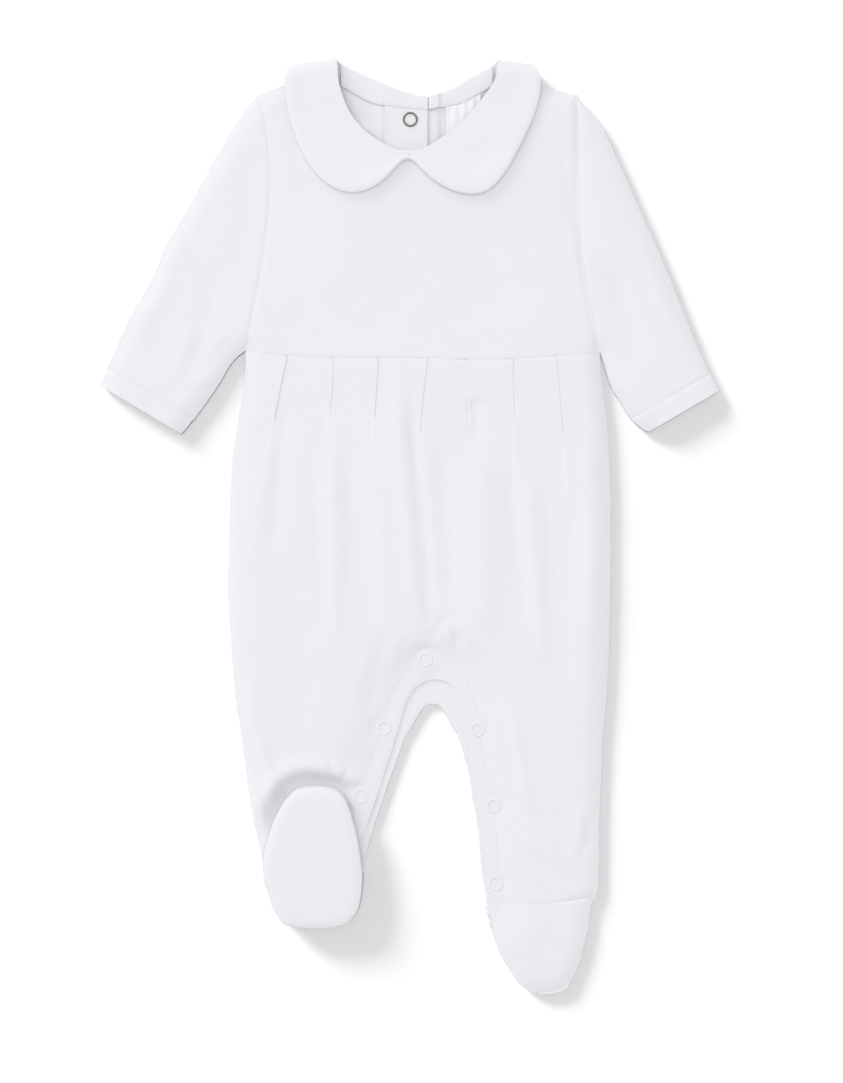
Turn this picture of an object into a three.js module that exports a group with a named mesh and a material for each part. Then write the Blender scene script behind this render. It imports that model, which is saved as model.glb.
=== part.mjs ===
import * as THREE from 'three'

// Footed baby sleepsuit, laid on its back on a flat surface. Millimetres, +Z up, +Y to the neck.
// Left and right are as seen from above.

const frontWall = 1.4
const backWall = 1.3
const plackWall = 1.8
const collarWall = 1.8
const collarBackWall = 1.2
const tapeWall = 1.0
const bandWall = 1.2
const seamGap = 0.3
const backSeam = 4.3
const frontSeam = backSeam + seamGap
const topRound = 10
const floorRound = 8
const sleeveCrown = 9.4
const sideFall = 0.9
const hemRaise = 0.35
const cuffHem = 12
const inseamEdge = 5.0
const inseamRise = 24
const plackWidth = 10
const bandRoom = backWall + seamGap
const snapRadius = 4.75
const snapHole = 2.9
const snapHeight = 1.1
const snapFlat = 8.5
const snapBlend = 11
const lapLeft = -16
const lapRight = 11.8
const lapRaise = backWall + seamGap
const collarRaise = collarBackWall + seamGap
const collarFold = 7
const collarBackFold = 6
const pressedLeg = 5.9
const soleInset = 3
const footRim = 9.2
const footTop = 13.6
const leftHem = -226.5
const frontCrotch = -94.2
const backCrotch = -109
const neckDip = 232.3

const table = (names, rows) => {
  const keys = names.split(' ')
  return rows.map(row => Object.fromEntries(keys.map((key, i) => [key, row[i]])))
}

// Side seams of the body, legs and right ankle, by height on the suit
const sides = table('y left right', [
  [111, -101.7, 117.9], [102, -101.7, 118.3], [90, -102.6, 119.3], [65, -106.3, 122.5],
  [41, -110, 123.9], [16, -111.3, 124.9], [-34, -112.5, 124.6], [-83, -110, 123.4],
  [-108, -107.6, 121.9], [-133, -103.8, 119.7], [-158, -100.6, 118.6], [-183, -96.4, 117.8],
  [-207, -91, 117.5], [-220, -88.6, 117.3], [-227, -87, 116.2], [-236, -83.5, 112]
])

// Edge of the back panel between the legs
const backInseam = table('y left right', [
  [-109, 15.5, 15.5], [-110.2, 11.5, 18], [-112.5, 8.6, 20], [-117, 5.4, 22.8],
  [-124, 1.6, 26.6], [-130, -2.2, 30.4], [-138.5, -5.3, 33], [-156, -11.6, 37.4],
  [-170, -16.4, 39.4], [-182.6, -20.7, 41.9], [-195, -24.4, 43.4], [-213, -28.6, 44.8],
  [-232, -32, 48.2], [-246, -38, 50]
])

// Edge of the front panel that laps over it
const frontInseam = table('y left right', [
  [-94.2, 15.8, 15.8], [-95.1, 10.4, 21.8], [-97.2, 6.2, 25.2], [-101, 2.2, 27.6],
  [-105, -0.2, 29.3], [-112, -3.5, 31.1], [-121, -5.8, 32.9], [-130, -8.8, 34.1],
  [-138, -10.9, 35.2], [-146, -13.8, 36.4], [-158, -17.4, 38.6], [-176, -23.4, 41.4],
  [-191, -28.5, 43.8], [-213, -32, 45.4], [-232, -35, 48.6]
])

const waistSeam = table('x y', [
  [-102, 109.8], [-90, 107.9], [-70.5, 106], [-48, 105.3], [-20, 105], [12.7, 104.8],
  [37, 104.2], [63, 104.4], [91, 106.3], [118, 107.8]
])

// Armhole seams, where each sleeve is set in
const armholes = table('y left right', [
  [109, -101.9, 118.3], [124, -99.3, 115.2], [138.6, -96.4, 112], [155, -93, 108.9],
  [178, -89.6, 106.2], [203.7, -87.1, 104.9], [221, -86.8, 104.8], [238, -88.1, 105.1],
  [257, -91.3, 104.7], [267.8, -94.3, 103.2]
])

const frontNeck = table('y left right', [
  [232.3, -0.3, -0.3], [233.4, -8, 6.5], [236.4, -14.5, 12.6], [242.7, -24.5, 21.8],
  [253.9, -35, 36], [264.4, -40.9, 44.4], [276, -44, 52.6], [287, -46.2, 55.2]
])

const shoulders = table('x y', [
  [-95, 267.8], [-76, 275], [-46, 286.4], [55, 285.4], [80, 274.2], [103.2, 268]
])

// Top edge of the back neck
const backNeck = table('x y', [
  [-46, 288.6], [-29.5, 281.4], [-11.8, 273.6], [2.2, 268.6], [8.7, 267.2], [14.6, 268.2],
  [26.4, 272.6], [39.4, 280], [55, 288.3]
])

// Outer and inner edge of each sleeve, from the armhole to the cuff
const sleeveEdges = table('step leftOutX leftOutY rightOutX rightOutY leftInX leftInY rightInX rightInY', [
  [0, -94.7, 267.8, 102.9, 268.3, -101.9, 109.6, 118.4, 108.6],
  [1, -107, 251.4, 115.6, 253.5, -106, 106.6, 120.8, 102],
  [2, -121.8, 226.6, 129.3, 226.6, -110.7, 101.8, 123.8, 91.6],
  [3, -134.8, 201.8, 140.4, 201.8, -117.5, 90.4, 127, 84],
  [4, -149.7, 177, 151.6, 177, -125.5, 78.6, 131.5, 77],
  [5, -160.3, 152.2, 162.1, 152.2, -130.6, 71.6, 136, 69.5],
  [6, -174.5, 127.4, 172.1, 127.4, -135.5, 65.2, 140.6, 64.2],
  [7, -184.4, 104.6, 182, 103.6, -138.8, 61, 144.6, 61],
  [8, -191.9, 88, 191.9, 84.6, -141.7, 58, 148.2, 59.2]
])

// Crown of the cloth along the body, before the sides fall away
const crowns = table('y crown', [
  [290, 8.6], [262, 9.1], [232, 9.5], [170, 10], [112, 10.2], [40, 10.8], [-60, 10.4],
  [-120, 9.6], [-190, 9.2], [-240, 9], [-290, 8.6]
])

// Seven knife pleats hang from the waist seam
const pleats = table('topX midX endX endY lift dip', [
  [-76.1, -86.2, -95.2, 8, 1.3, 0.6], [-47.7, -50.4, -58, 30, 1.5, 0.8],
  [-19.8, -22.4, -25.4, 26, 1.3, 0.6], [10.8, 6.4, 5.9, 22, 1.4, 0.7],
  [36.3, 37, 37.8, 56, 1.6, 1.2], [63.5, 65, 70.1, -26, 1.4, 0.7],
  [90.2, 95.4, 100.1, -24, 1.3, 0.7]
])

// Soft ridges and troughs below the pleats and on the legs, sleeves and yoke
const folds = table('x0 y0 x1 y1 x2 y2 width height', [
  [-7, 103, 0, 45, 9, -72, 7, 1.1], [-1, 98, 8, 30, 17, -70, 6, -1],
  [-78, 66, -79, 34, -80, -2, 6, -0.8], [-54, 14, -54, -12, -52, -40, 7, -0.7],
  [-38, 58, -39, 20, -40, -34, 6, -0.9], [-48, 60, -49, 0, -48, -50, 6, 0.9],
  [-20, 28, -19, -4, -19, -50, 7, -0.8], [21, 66, 25, 22, 36, -40, 7, -0.9],
  [38, 80, 38, 68, 38, 56, 4, -0.9], [50, 40, 50, 8, 51, -30, 8, 0.9],
  [86, 22, 86, -10, 86, -50, 7, -0.8], [110, 70, 112, 20, 112, -60, 6, 0.5],
  [9, -78, 16, -66, 30, -48, 5, -0.8], [27, -60, 34, -84, 42, -120, 7, -0.7],
  [-96, -122, -93, -158, -84, -188, 5, -0.8], [57, -116, 63, -152, 69, -190, 5, -0.8],
  [70, -194, 79, -206, 86, -216, 6, -0.7], [48, -172, 53, -196, 59, -222, 4, -0.6],
  [96, 236, 101, 208, 105, 180, 5, -0.7], [-118, 168, -126, 130, -138, 88, 8, -0.7],
  [124, 170, 134, 132, 142, 92, 8, -0.7], [-146, 196, -156, 160, -168, 120, 10, 0.5]
])

// Ring snaps: place of each and the height of the cloth it sits on
const frontSnaps = table('name x y base', [
  ['snap_crotch', 9.8, -81.8, 5.9], ['snap_left_1', -15.8, -124.2, 5.4],
  ['snap_left_2', -30.2, -166.6, 5.4], ['snap_left_3', -41.5, -210, 5.2],
  ['snap_right_1', 42.3, -125, 5.4], ['snap_right_2', 51.7, -172.6, 5.4],
  ['snap_right_3', 53.4, -220.5, 5.4]
])
const backSnaps = table('name x y', [
  ['snap_back_1', 0.5, 252.8], ['snap_back_2', -0.5, 204], ['snap_back_3', -0.5, 155]
])

// Outline of the left foot, folded up on the leg with its sole to the top
const leftFoot = table('y left right', [
  [-159.8, -62.4, -54], [-161.2, -69, -46.5], [-165, -74, -41.4], [-170, -78, -38.4],
  [-182, -84.2, -34.4], [-192, -87.6, -32], [-204, -90.4, -30], [-216, -90.2, -28.9],
  [-226, -87.6, -29.6], [-234, -85, -31], [-241, -81.2, -34.6], [-245.4, -77.6, -39.6],
  [-247.6, -66, -50]
])

// Outline of the right foot, toe down
const rightFoot = table('y left right', [
  [-231, 48, 113], [-240, 48.9, 111.8], [-247, 50, 111], [-256, 52.8, 109.2],
  [-265, 56.2, 106.9], [-273, 61, 104], [-279, 65, 101.4], [-283.6, 68.8, 98.6],
  [-286.6, 74, 95], [-288.3, 79, 90]
])

const toe = -289
const rightHem = table('x y', [
  [48, -231.6], [62, -232.6], [78, -232.8], [98, -231.4], [108.8, -229.6], [116.4, -226.8]
])

// Edges of the two collar halves, from the centre front over the shoulder to the centre back
const collarLeftNeck = table('x y', [
  [-0.6, 232.9], [-8, 233.6], [-14.1, 236.2], [-22.8, 241.4], [-29.6, 247.1], [-36.5, 255.8],
  [-41.2, 266.3], [-43.8, 276], [-44.6, 289.2]
])
const collarLeftOuter = table('x y', [
  [-0.6, 229], [-4.4, 227.6], [-8.4, 224.2], [-12.8, 219.2], [-17.7, 214.2], [-26.4, 209.4], [-35.7, 207.6],
  [-46, 210.3], [-54.6, 216.6], [-62.3, 226.6], [-68.5, 238.9], [-72.3, 251.5], [-75, 264.4],
  [-76.2, 276], [-74.2, 284.5]
])
const collarRightNeck = table('x y', [
  [0.2, 232.9], [7, 233.6], [15.1, 237.8], [23.7, 243.6], [32.4, 250.6], [41, 260.1],
  [47.9, 268.8], [53, 277.4], [54, 288.4]
])
const collarRightOuter = table('x y', [
  [0.2, 229], [3.2, 227.4], [6.4, 224.2], [10.6, 219.6], [16.9, 214.6], [25.5, 209.6], [35.6, 206.9],
  [44.3, 207.3], [51.3, 211.3], [58.4, 220], [65.2, 231.8], [71.4, 244.6], [76.5, 256.6],
  [79.6, 269.5], [80, 278.6], [76.4, 285]
])
const collarLeftBack = table('neckX neckY outX outY', [
  [-44.6, 289.2, -74.2, 284.5], [-38, 285.6, -72.6, 270], [-28, 280.6, -65, 255],
  [-17, 275.8, -49, 243.6], [-7, 271.8, -27, 237.4], [0.4, 269.4, -2, 236.6]
])
const collarRightBack = table('neckX neckY outX outY', [
  [54, 288.4, 76.4, 285], [46.4, 283.6, 77, 270], [36.4, 278, 69, 255], [25.4, 272.2, 53, 243.6],
  [14.4, 268.2, 30, 237.4], [4.4, 268, 5.6, 236.6]
])

// Lower edge of the tape that covers the back neck seam
const tapeLower = table('x y', [
  [-44, 274.6], [-34.7, 269.4], [-27.6, 265.3], [-20, 262.4], [10.5, 259], [19.3, 260.7],
  [31.7, 263], [40.6, 267.3], [51, 273.6]
])
const tapeEnds = { leftStart: -42.6, leftEnd: 11.4, rightStart: 12.4, rightEnd: 51.6 }
const label = { left: 22.4, right: 44.2, drop: 21, corner: 2 }

const clamp = value => Math.min(1, Math.max(0, value))
const soft = value => clamp(value) ** 2 * (3 - 2 * clamp(value))
const rise = value => Math.sqrt(1 - (1 - clamp(value)) ** 2)
const mix = (a, b, part) => a + (b - a) * part
const gauss = value => Math.exp(-value * value)

// Smooth curve through the rows of a table that never overshoots them
function curve(rows, from, to) {
  const sorted = [...rows].sort((a, b) => a[from] - b[from])
  const at = sorted.map(row => row[from])
  const to_ = sorted.map(row => row[to])
  const last = at.length - 1
  const slope = at.slice(1).map((value, i) => (to_[i + 1] - to_[i]) / (value - at[i]))
  const tangent = at.map((value, i) => {
    if (i === 0) return slope[0]
    if (i === last) return slope[last - 1]
    if (slope[i - 1] * slope[i] <= 0) return 0
    return 2 * slope[i - 1] * slope[i] / (slope[i - 1] + slope[i])
  })
  return value => {
    if (value <= at[0]) return to_[0]
    if (value >= at[last]) return to_[last]
    let i = 0
    while (value > at[i + 1]) i++
    const span = at[i + 1] - at[i]
    const t = (value - at[i]) / span
    const keep = (1 + 2 * t) * (1 - t) ** 2
    const next = t * t * (3 - 2 * t)
    const lead = t * (1 - t) ** 2 * span
    const trail = t * t * (t - 1) * span
    return keep * to_[i] + next * to_[i + 1] + lead * tangent[i] + trail * tangent[i + 1]
  }
}

// Smooth path through points, read by the share of its length
function path(points) {
  const line = new THREE.CatmullRomCurve3(points.map(p => new THREE.Vector3(p.x, p.y, 0)), false, 'centripetal')
  line.arcLengthDivisions = 400
  return share => line.getPointAt(clamp(share))
}

const sideLeft = curve(sides, 'y', 'left')
const sideRight = curve(sides, 'y', 'right')
const backInLeft = curve(backInseam, 'y', 'left')
const backInRight = curve(backInseam, 'y', 'right')
const frontInLeft = curve(frontInseam, 'y', 'left')
const frontInRight = curve(frontInseam, 'y', 'right')
const waistY = curve(waistSeam, 'x', 'y')
const backWaistY = x => mix(109.6, 107.9, (x + 102) / 220)
const armLeft = curve(armholes, 'y', 'left')
const armRight = curve(armholes, 'y', 'right')
const neckLeft = curve(frontNeck, 'y', 'left')
const neckRight = curve(frontNeck, 'y', 'right')
const shoulderY = curve(shoulders, 'x', 'y')
const backNeckY = curve(backNeck, 'x', 'y')
const crownY = curve(crowns, 'y', 'crown')
const footLeftL = curve(leftFoot, 'y', 'left')
const footLeftR = curve(leftFoot, 'y', 'right')
const footRightL = curve(rightFoot, 'y', 'left')
const footRightR = curve(rightFoot, 'y', 'right')
const rightHemY = curve(rightHem, 'x', 'y')
const tapeLowerY = curve(tapeLower, 'x', 'y')
const centreX = curve([
  { y: 106, x: -7.2 }, { y: 45, x: -0.3 }, { y: -24, x: 5 }, { y: -94.2, x: 15.8 }
], 'y', 'x')

const sleevePath = (side, edge) => path(sleeveEdges.map(row => ({
  x: row[side + edge + 'X'],
  y: row[side + edge + 'Y']
})))
const sleeveLines = {
  left: { out: sleevePath('left', 'Out'), inn: sleevePath('left', 'In') },
  right: { out: sleevePath('right', 'Out'), inn: sleevePath('right', 'In') }
}

const steps = (from, to, count) => Array.from({ length: count + 1 }, (v, i) => mix(from, to, i / count))
const trace = (ys, xAt) => ys.map(y => [xAt(y), y])
const traceAlong = (line, count) => steps(0, 1, count).map(share => {
  const p = line(share)
  return [p.x, p.y]
})

// Edges where the front and back cloth meet and round away
const foldEdges = [
  traceAlong(sleeveLines.left.out, 80),
  traceAlong(sleeveLines.left.inn, 30),
  trace(steps(109.4, -236, 120), sideLeft),
  traceAlong(sleeveLines.right.out, 80),
  traceAlong(sleeveLines.right.inn, 30),
  [...trace(steps(107.8, -227, 120), sideRight), [115, -228.6], [113, -231]],
  steps(-94.7, -46.2, 18).map(x => [x, shoulderY(x)]),
  steps(55.2, 102.9, 18).map(x => [x, shoulderY(x)]),
  [
    ...trace(steps(-241, -288.3, 26), footRightL), [84.5, toe],
    ...trace(steps(-288.3, -231, 30), footRightR)
  ],
  [
    [-83.5, -236], [-81.6, -240], [-77, -244.4], [-66, -246.2], [-50, -246.2], [-41, -243.8],
    [-36.4, -240], [-34, -236]
  ]
]
const frontInEdge = [
  trace(steps(-192, frontCrotch, 60), frontInLeft),
  trace(steps(frontCrotch, -231, 80), frontInRight)
]
const leftFootEdge = [
  [
    ...trace(steps(-159.8, -247.6, 50), footLeftL),
    ...trace(steps(-247.6, -159.8, 50), footLeftR),
    [footLeftL(-159.8), -159.8]
  ]
]

function distance(x, y, lines) {
  let best = 1e9
  for (const line of lines) {
    for (let i = 1; i < line.length; i++) {
      const [ax, ay] = line[i - 1]
      const dx = line[i][0] - ax
      const dy = line[i][1] - ay
      const along = clamp(((x - ax) * dx + (y - ay) * dy) / (dx * dx + dy * dy || 1))
      best = Math.min(best, (x - ax - dx * along) ** 2 + (y - ay - dy * along) ** 2)
    }
  }
  return Math.sqrt(best)
}

const inLeftFoot = (x, y) =>
  y < -159.8 && y > -247.6 && x > footLeftL(y) && x < footLeftR(y)

function pleatX(pleat, y) {
  const top = waistY(pleat.topX)
  const t = clamp((top - y) / (top - pleat.endY))
  return (1 - t) * (1 - 2 * t) * pleat.topX + 4 * t * (1 - t) * pleat.midX + t * (2 * t - 1) * pleat.endX
}

// A pleat lifts the cloth on its right and tucks in on its left, less and less downwards
function pleatHeight(x, y) {
  let sum = 0
  for (const pleat of pleats) {
    const top = waistY(pleat.topX)
    const t = (top - y) / (top - pleat.endY)
    if (t < -0.2 || t > 1.35) continue
    const fade = soft((1.35 - t) / 1.1)
    const off = x - pleatX(pleat, y)
    const lift = off > 0 ? pleat.lift * Math.exp(-off / 11) : 0
    const dip = off <= 0 ? -pleat.dip * Math.exp(off / 4.5) : 0
    sum += fade * (lift + dip)
  }
  return sum
}

function foldHeight(x, y) {
  let sum = 0
  for (const f of folds) {
    const t = (f.y0 - y) / (f.y0 - f.y2)
    if (t < 0 || t > 1) continue
    const bend = (f.y0 - f.y1) / (f.y0 - f.y2)
    const part = t < bend ? t / bend / 2 : 0.5 + (t - bend) / (1 - bend) / 2
    const lineX = (1 - part) * (1 - 2 * part) * f.x0 + 4 * part * (1 - part) * f.x1 + part * (2 * part - 1) * f.x2
    sum += f.height * gauss((x - lineX) / f.width) * soft(Math.min(t, 1 - t) * 4)
  }
  return sum
}

function crown(x, y) {
  const body = crownY(y) - sideFall * clamp(Math.abs(x - 6) / 118) ** 2
  const past = Math.max(armLeft(y) - x, x - armRight(y))
  const sleeve = y > 50 && past > 0 ? soft(past / 45) : 0
  return mix(body, sleeveCrown, sleeve)
}

// Height of the outer face of the front cloth
function frontTop(x, y, lower = false) {
  const away = distance(x, y, foldEdges)
  const settled = soft(away / topRound)
  let z = frontSeam + (crown(x, y) - frontSeam) * rise(away / topRound)
  z += foldHeight(x, y) * settled
  if (lower) z += pleatHeight(x, y) * settled
  z -= 0.7 * gauss((y - waistY(x)) / 3) * settled * (x > armLeft(112) && x < armRight(112) ? 1 : 0)
  if (lower && y < 0) {
    const edge = distance(x, y, frontInEdge)
    z = mix(inseamEdge, z, soft(edge / inseamRise))
    z += hemRaise * soft((plackWidth + 1 - edge) / 2)
    if (x < -10 && y < -140) {
      const out = inLeftFoot(x, y) ? 0 : distance(x, y, leftFootEdge)
      z = mix(Math.min(z, pressedLeg), z, soft(out / 12))
    }
    for (const snap of frontSnaps) {
      const off = Math.hypot(x - snap.x, y - snap.y)
      if (off < snapFlat + snapBlend) z = mix(snap.base, z, soft((off - snapFlat) / snapBlend))
    }
  }
  return z
}

const collarLobeY = x => 236 + 14 * clamp((Math.abs(x - 1.5) - 18) / 60) ** 2

// Height of the outer face of the back cloth, which rests on the surface
function backBottom(x, y, lap = 0) {
  const away = distance(x, y, foldEdges)
  const overCollar = soft((y - collarLobeY(x) + 19) / 11) * soft((88 - Math.abs(x - 1.5)) / 9)
  const lift = (collarRaise + 0.1) * overCollar + lap
  return lift + Math.max(0, backSeam - lift) * (1 - rise(away / floorRound))
}
const lapLift = x => lapRaise * soft((x - lapLeft + 5.5) / 4.5)
const leftBackTop = (x, y) => backBottom(x, y, lapLift(x)) + backWall
const rightBackTop = (x, y) => backBottom(x, y) + backWall

class Sheet {
  constructor(wall) {
    this.points = []
    this.quads = []
    this.wall = wall
    this.fix = []
    this.thick = []
  }

  // A point of the outer face. Its fix keeps the wall level at a side or plumb at a seam.
  add(x, y, z, fix = null, thick = this.wall) {
    this.points.push(new THREE.Vector3(x, y, z))
    this.fix.push(fix)
    this.thick.push(thick)
    return this.points.length - 1
  }

  weave(rows, closed = false) {
    for (let r = 1; r < rows.length; r++) {
      const span = rows[r].length - (closed ? 0 : 1)
      for (let c = 0; c < span; c++) {
        const next = (c + 1) % rows[r].length
        this.quads.push([rows[r - 1][c], rows[r][c], rows[r][next], rows[r - 1][next]])
      }
    }
  }

  normals() {
    const sums = this.points.map(() => new THREE.Vector3())
    const across = new THREE.Vector3()
    const along = new THREE.Vector3()
    for (const [a, b, c, d] of this.quads) {
      across.subVectors(this.points[c], this.points[a])
      along.subVectors(this.points[d], this.points[b])
      across.cross(along)
      for (const v of new Set([a, b, c, d])) sums[v].add(across)
    }
    return sums.map((n, v) => {
      const fix = this.fix[v]
      n.normalize()
      if (fix && fix.level) n.z = 0
      if (fix && fix.plumb) n.addScaledVector(fix.plumb, -n.dot(fix.plumb))
      return n.normalize()
    })
  }

  // Closes the sheet with its inner face and rim. The grooves run round the rim between the faces.
  solid(inner = null, grooves = []) {
    const count = this.points.length
    const normals = this.normals()
    const points = [...this.points]
    for (let v = 0; v < count; v++) {
      points.push(inner ? inner(this.points[v]) : this.points[v].clone().addScaledVector(normals[v], -this.thick[v]))
    }
    const faces = []
    const used = new Set()
    for (const [a, b, c, d] of this.quads) {
      faces.push([a, b, c], [a, c, d])
      for (const [from, to] of [[a, b], [b, c], [c, d], [d, a]]) used.add(from + '_' + to)
    }
    const outerCount = faces.length
    for (let i = 0; i < outerCount; i++) {
      const [a, b, c] = faces[i]
      faces.push([a + count, c + count, b + count])
    }
    const centre = new THREE.Box3().setFromPoints(this.points).getCenter(new THREE.Vector3())
    const ringPoint = new Map()
    const onRing = (v, ring) => {
      if (ring === 0) return v
      if (ring > grooves.length) return v + count
      const key = v + '_' + ring
      if (!ringPoint.has(key)) {
        const { share, inset } = grooves[ring - 1]
        const p = points[v].clone().lerp(points[v + count], share)
        const inward = new THREE.Vector3(centre.x - p.x, centre.y - p.y, 0).normalize()
        ringPoint.set(key, points.push(p.addScaledVector(inward, inset)) - 1)
      }
      return ringPoint.get(key)
    }
    for (const [a, b, c, d] of this.quads) {
      for (const [from, to] of [[a, b], [b, c], [c, d], [d, a]]) {
        if (from === to || used.has(to + '_' + from)) continue
        for (let ring = 0; ring <= grooves.length; ring++) {
          const corners = [onRing(to, ring), onRing(from, ring), onRing(from, ring + 1), onRing(to, ring + 1)]
          faces.push([corners[0], corners[1], corners[2]], [corners[0], corners[2], corners[3]])
        }
      }
    }
    const geometry = new THREE.BufferGeometry()
    geometry.setAttribute('position', new THREE.Float32BufferAttribute(points.flatMap(p => [p.x, p.y, p.z]), 3))
    geometry.setIndex(faces.flat())
    geometry.computeVertexNormals()
    return geometry
  }
}

const level = { level: true }
const acrossX = new THREE.Vector3(1, 0, 0)
const acrossY = new THREE.Vector3(0, 1, 0)
const plumbX = { plumb: acrossX }
const plumbY = { plumb: acrossY }
const levelX = { level: true, plumb: acrossX }
const levelY = { level: true, plumb: acrossY }

// Places of the columns of a row: rounded in from an outer edge, then even to the inner edge
const edgeSteps = radius => [0, 0.134 * radius, 0.5 * radius, radius]

const group = new THREE.Group()
const cotton = { color: 0xf1f2f6, roughness: 0.92, metalness: 0 }

function piece(name, geometry, look = cotton) {
  const mesh = new THREE.Mesh(geometry, new THREE.MeshStandardMaterial(look))
  mesh.name = name
  group.add(mesh)
}

// One place on a row whose height follows its x, and whose x follows its height
function settle(xAt, yAt, guess) {
  let y = guess
  let x = xAt(y)
  for (let i = 0; i < 4; i++) {
    y = yAt(x)
    x = xAt(y)
  }
  return [x, y]
}

// Front of the lower suit: one panel with both legs, its columns along the pleats
function lowerColumns(half) {
  const edges = edgeSteps(topRound)
  const left = half === 'left'
  const side = left ? sideLeft : sideRight
  const sign = left ? 1 : -1
  const own = left ? [pleats[0], pleats[1], pleats[2]] : [pleats[6], pleats[5], pleats[4], pleats[3]]
  const lines = edges.map(step => y => side(y) + sign * step)
  let before = lines[3]
  own.forEach(pleat => {
    const near = y => pleatX(pleat, y) - sign * 0.5
    const far = y => pleatX(pleat, y) + sign * 0.5
    const start = before
    lines.push(y => mix(start(y), near(y), 0.55), near, far)
    before = far
  })
  const from = before
  lines.push(y => mix(from(y), centreX(y), 0.5), y => centreX(y))
  return lines
}

function legShares(count, width, inner) {
  const edges = edgeSteps(topRound).map(step => step / width)
  const plack = [plackWidth + 1.5, plackWidth - 0.5, 4.5, 0].map(step => 1 - step / width)
  const between = count - edges.length - (inner ? plack.length : 1)
  const ends = [edges[3], inner ? plack[0] : 1]
  const middle = steps(ends[0], ends[1], between + 1).slice(1, -1)
  return [...edges, ...middle, ...(inner ? plack : [1])]
}

{
  const sheet = new Sheet(frontWall)
  const upperRows = 22
  const legDrops = [0, 1, 3, 6.8, 11, 17.5, 26, 35, 44, 53, 62, 71, 80, 89, 98, 107, 116, 125, 132.3]
  const hems = { left: () => leftHem, right: rightHemY }
  const rowsOf = { left: [], right: [] }
  const shared = new Map()
  for (const half of ['left', 'right']) {
    const columns = lowerColumns(half)
    const count = columns.length
    const sideX = half === 'left' ? sideLeft : sideRight
    const inX = half === 'left' ? frontInLeft : frontInRight
    for (let r = 0; r <= upperRows; r++) {
      const share = r / upperRows
      const nominal = mix(105, frontCrotch, share)
      const row = []
      for (let c = 0; c < count; c++) {
        if (c === count - 1 && shared.has(r)) {
          row.push(shared.get(r))
          continue
        }
        const xAt = y => {
          const width = Math.abs(centreX(y) - sideX(y))
          const even = mix(sideX(y), centreX(y), legShares(count, width, true)[c])
          return mix(columns[c](y), even, soft((-18 - y) / 74))
        }
        const [x, y] = settle(xAt, at => mix(waistY(at) - seamGap / 2, frontCrotch, share), nominal)
        const edge = c === 0
        const z = edge ? frontSeam : frontTop(x, y, true)
        let fix = edge ? level : null
        if (r === 0) fix = edge ? levelY : plumbY
        const v = sheet.add(x, y, z, fix)
        if (c === count - 1) shared.set(r, v)
        row.push(v)
      }
      rowsOf[half].push(row)
    }
    const bottom = half === 'left' ? leftHem : -232.8
    for (const drop of legDrops.slice(1)) {
      const nominal = frontCrotch - drop
      const share = drop / 132.3
      const row = []
      for (let c = 0; c < count; c++) {
        const xAt = y => {
          const width = Math.abs(inX(y) - sideX(y))
          return mix(sideX(y), inX(y), legShares(count, width, true)[c])
        }
        const yAt = at => mix(frontCrotch, hems[half](at) + (half === 'right' ? seamGap / 2 : 0), share)
        const [x, y] = settle(xAt, yAt, nominal)
        const edge = c === 0
        const last = drop === legDrops[legDrops.length - 1]
        const z = edge ? frontSeam : frontTop(x, y, true)
        let fix = edge ? level : null
        if (last) fix = edge ? levelY : plumbY
        const thick = c >= count - 3 ? plackWall - 0.1 : frontWall
        row.push(sheet.add(x, y, z, fix, thick))
      }
      rowsOf[half].push(row)
    }
  }
  sheet.weave(rowsOf.left)
  sheet.weave(rowsOf.right.map(row => [...row].reverse()))
  piece('front_lower', sheet.solid())
}

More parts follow.
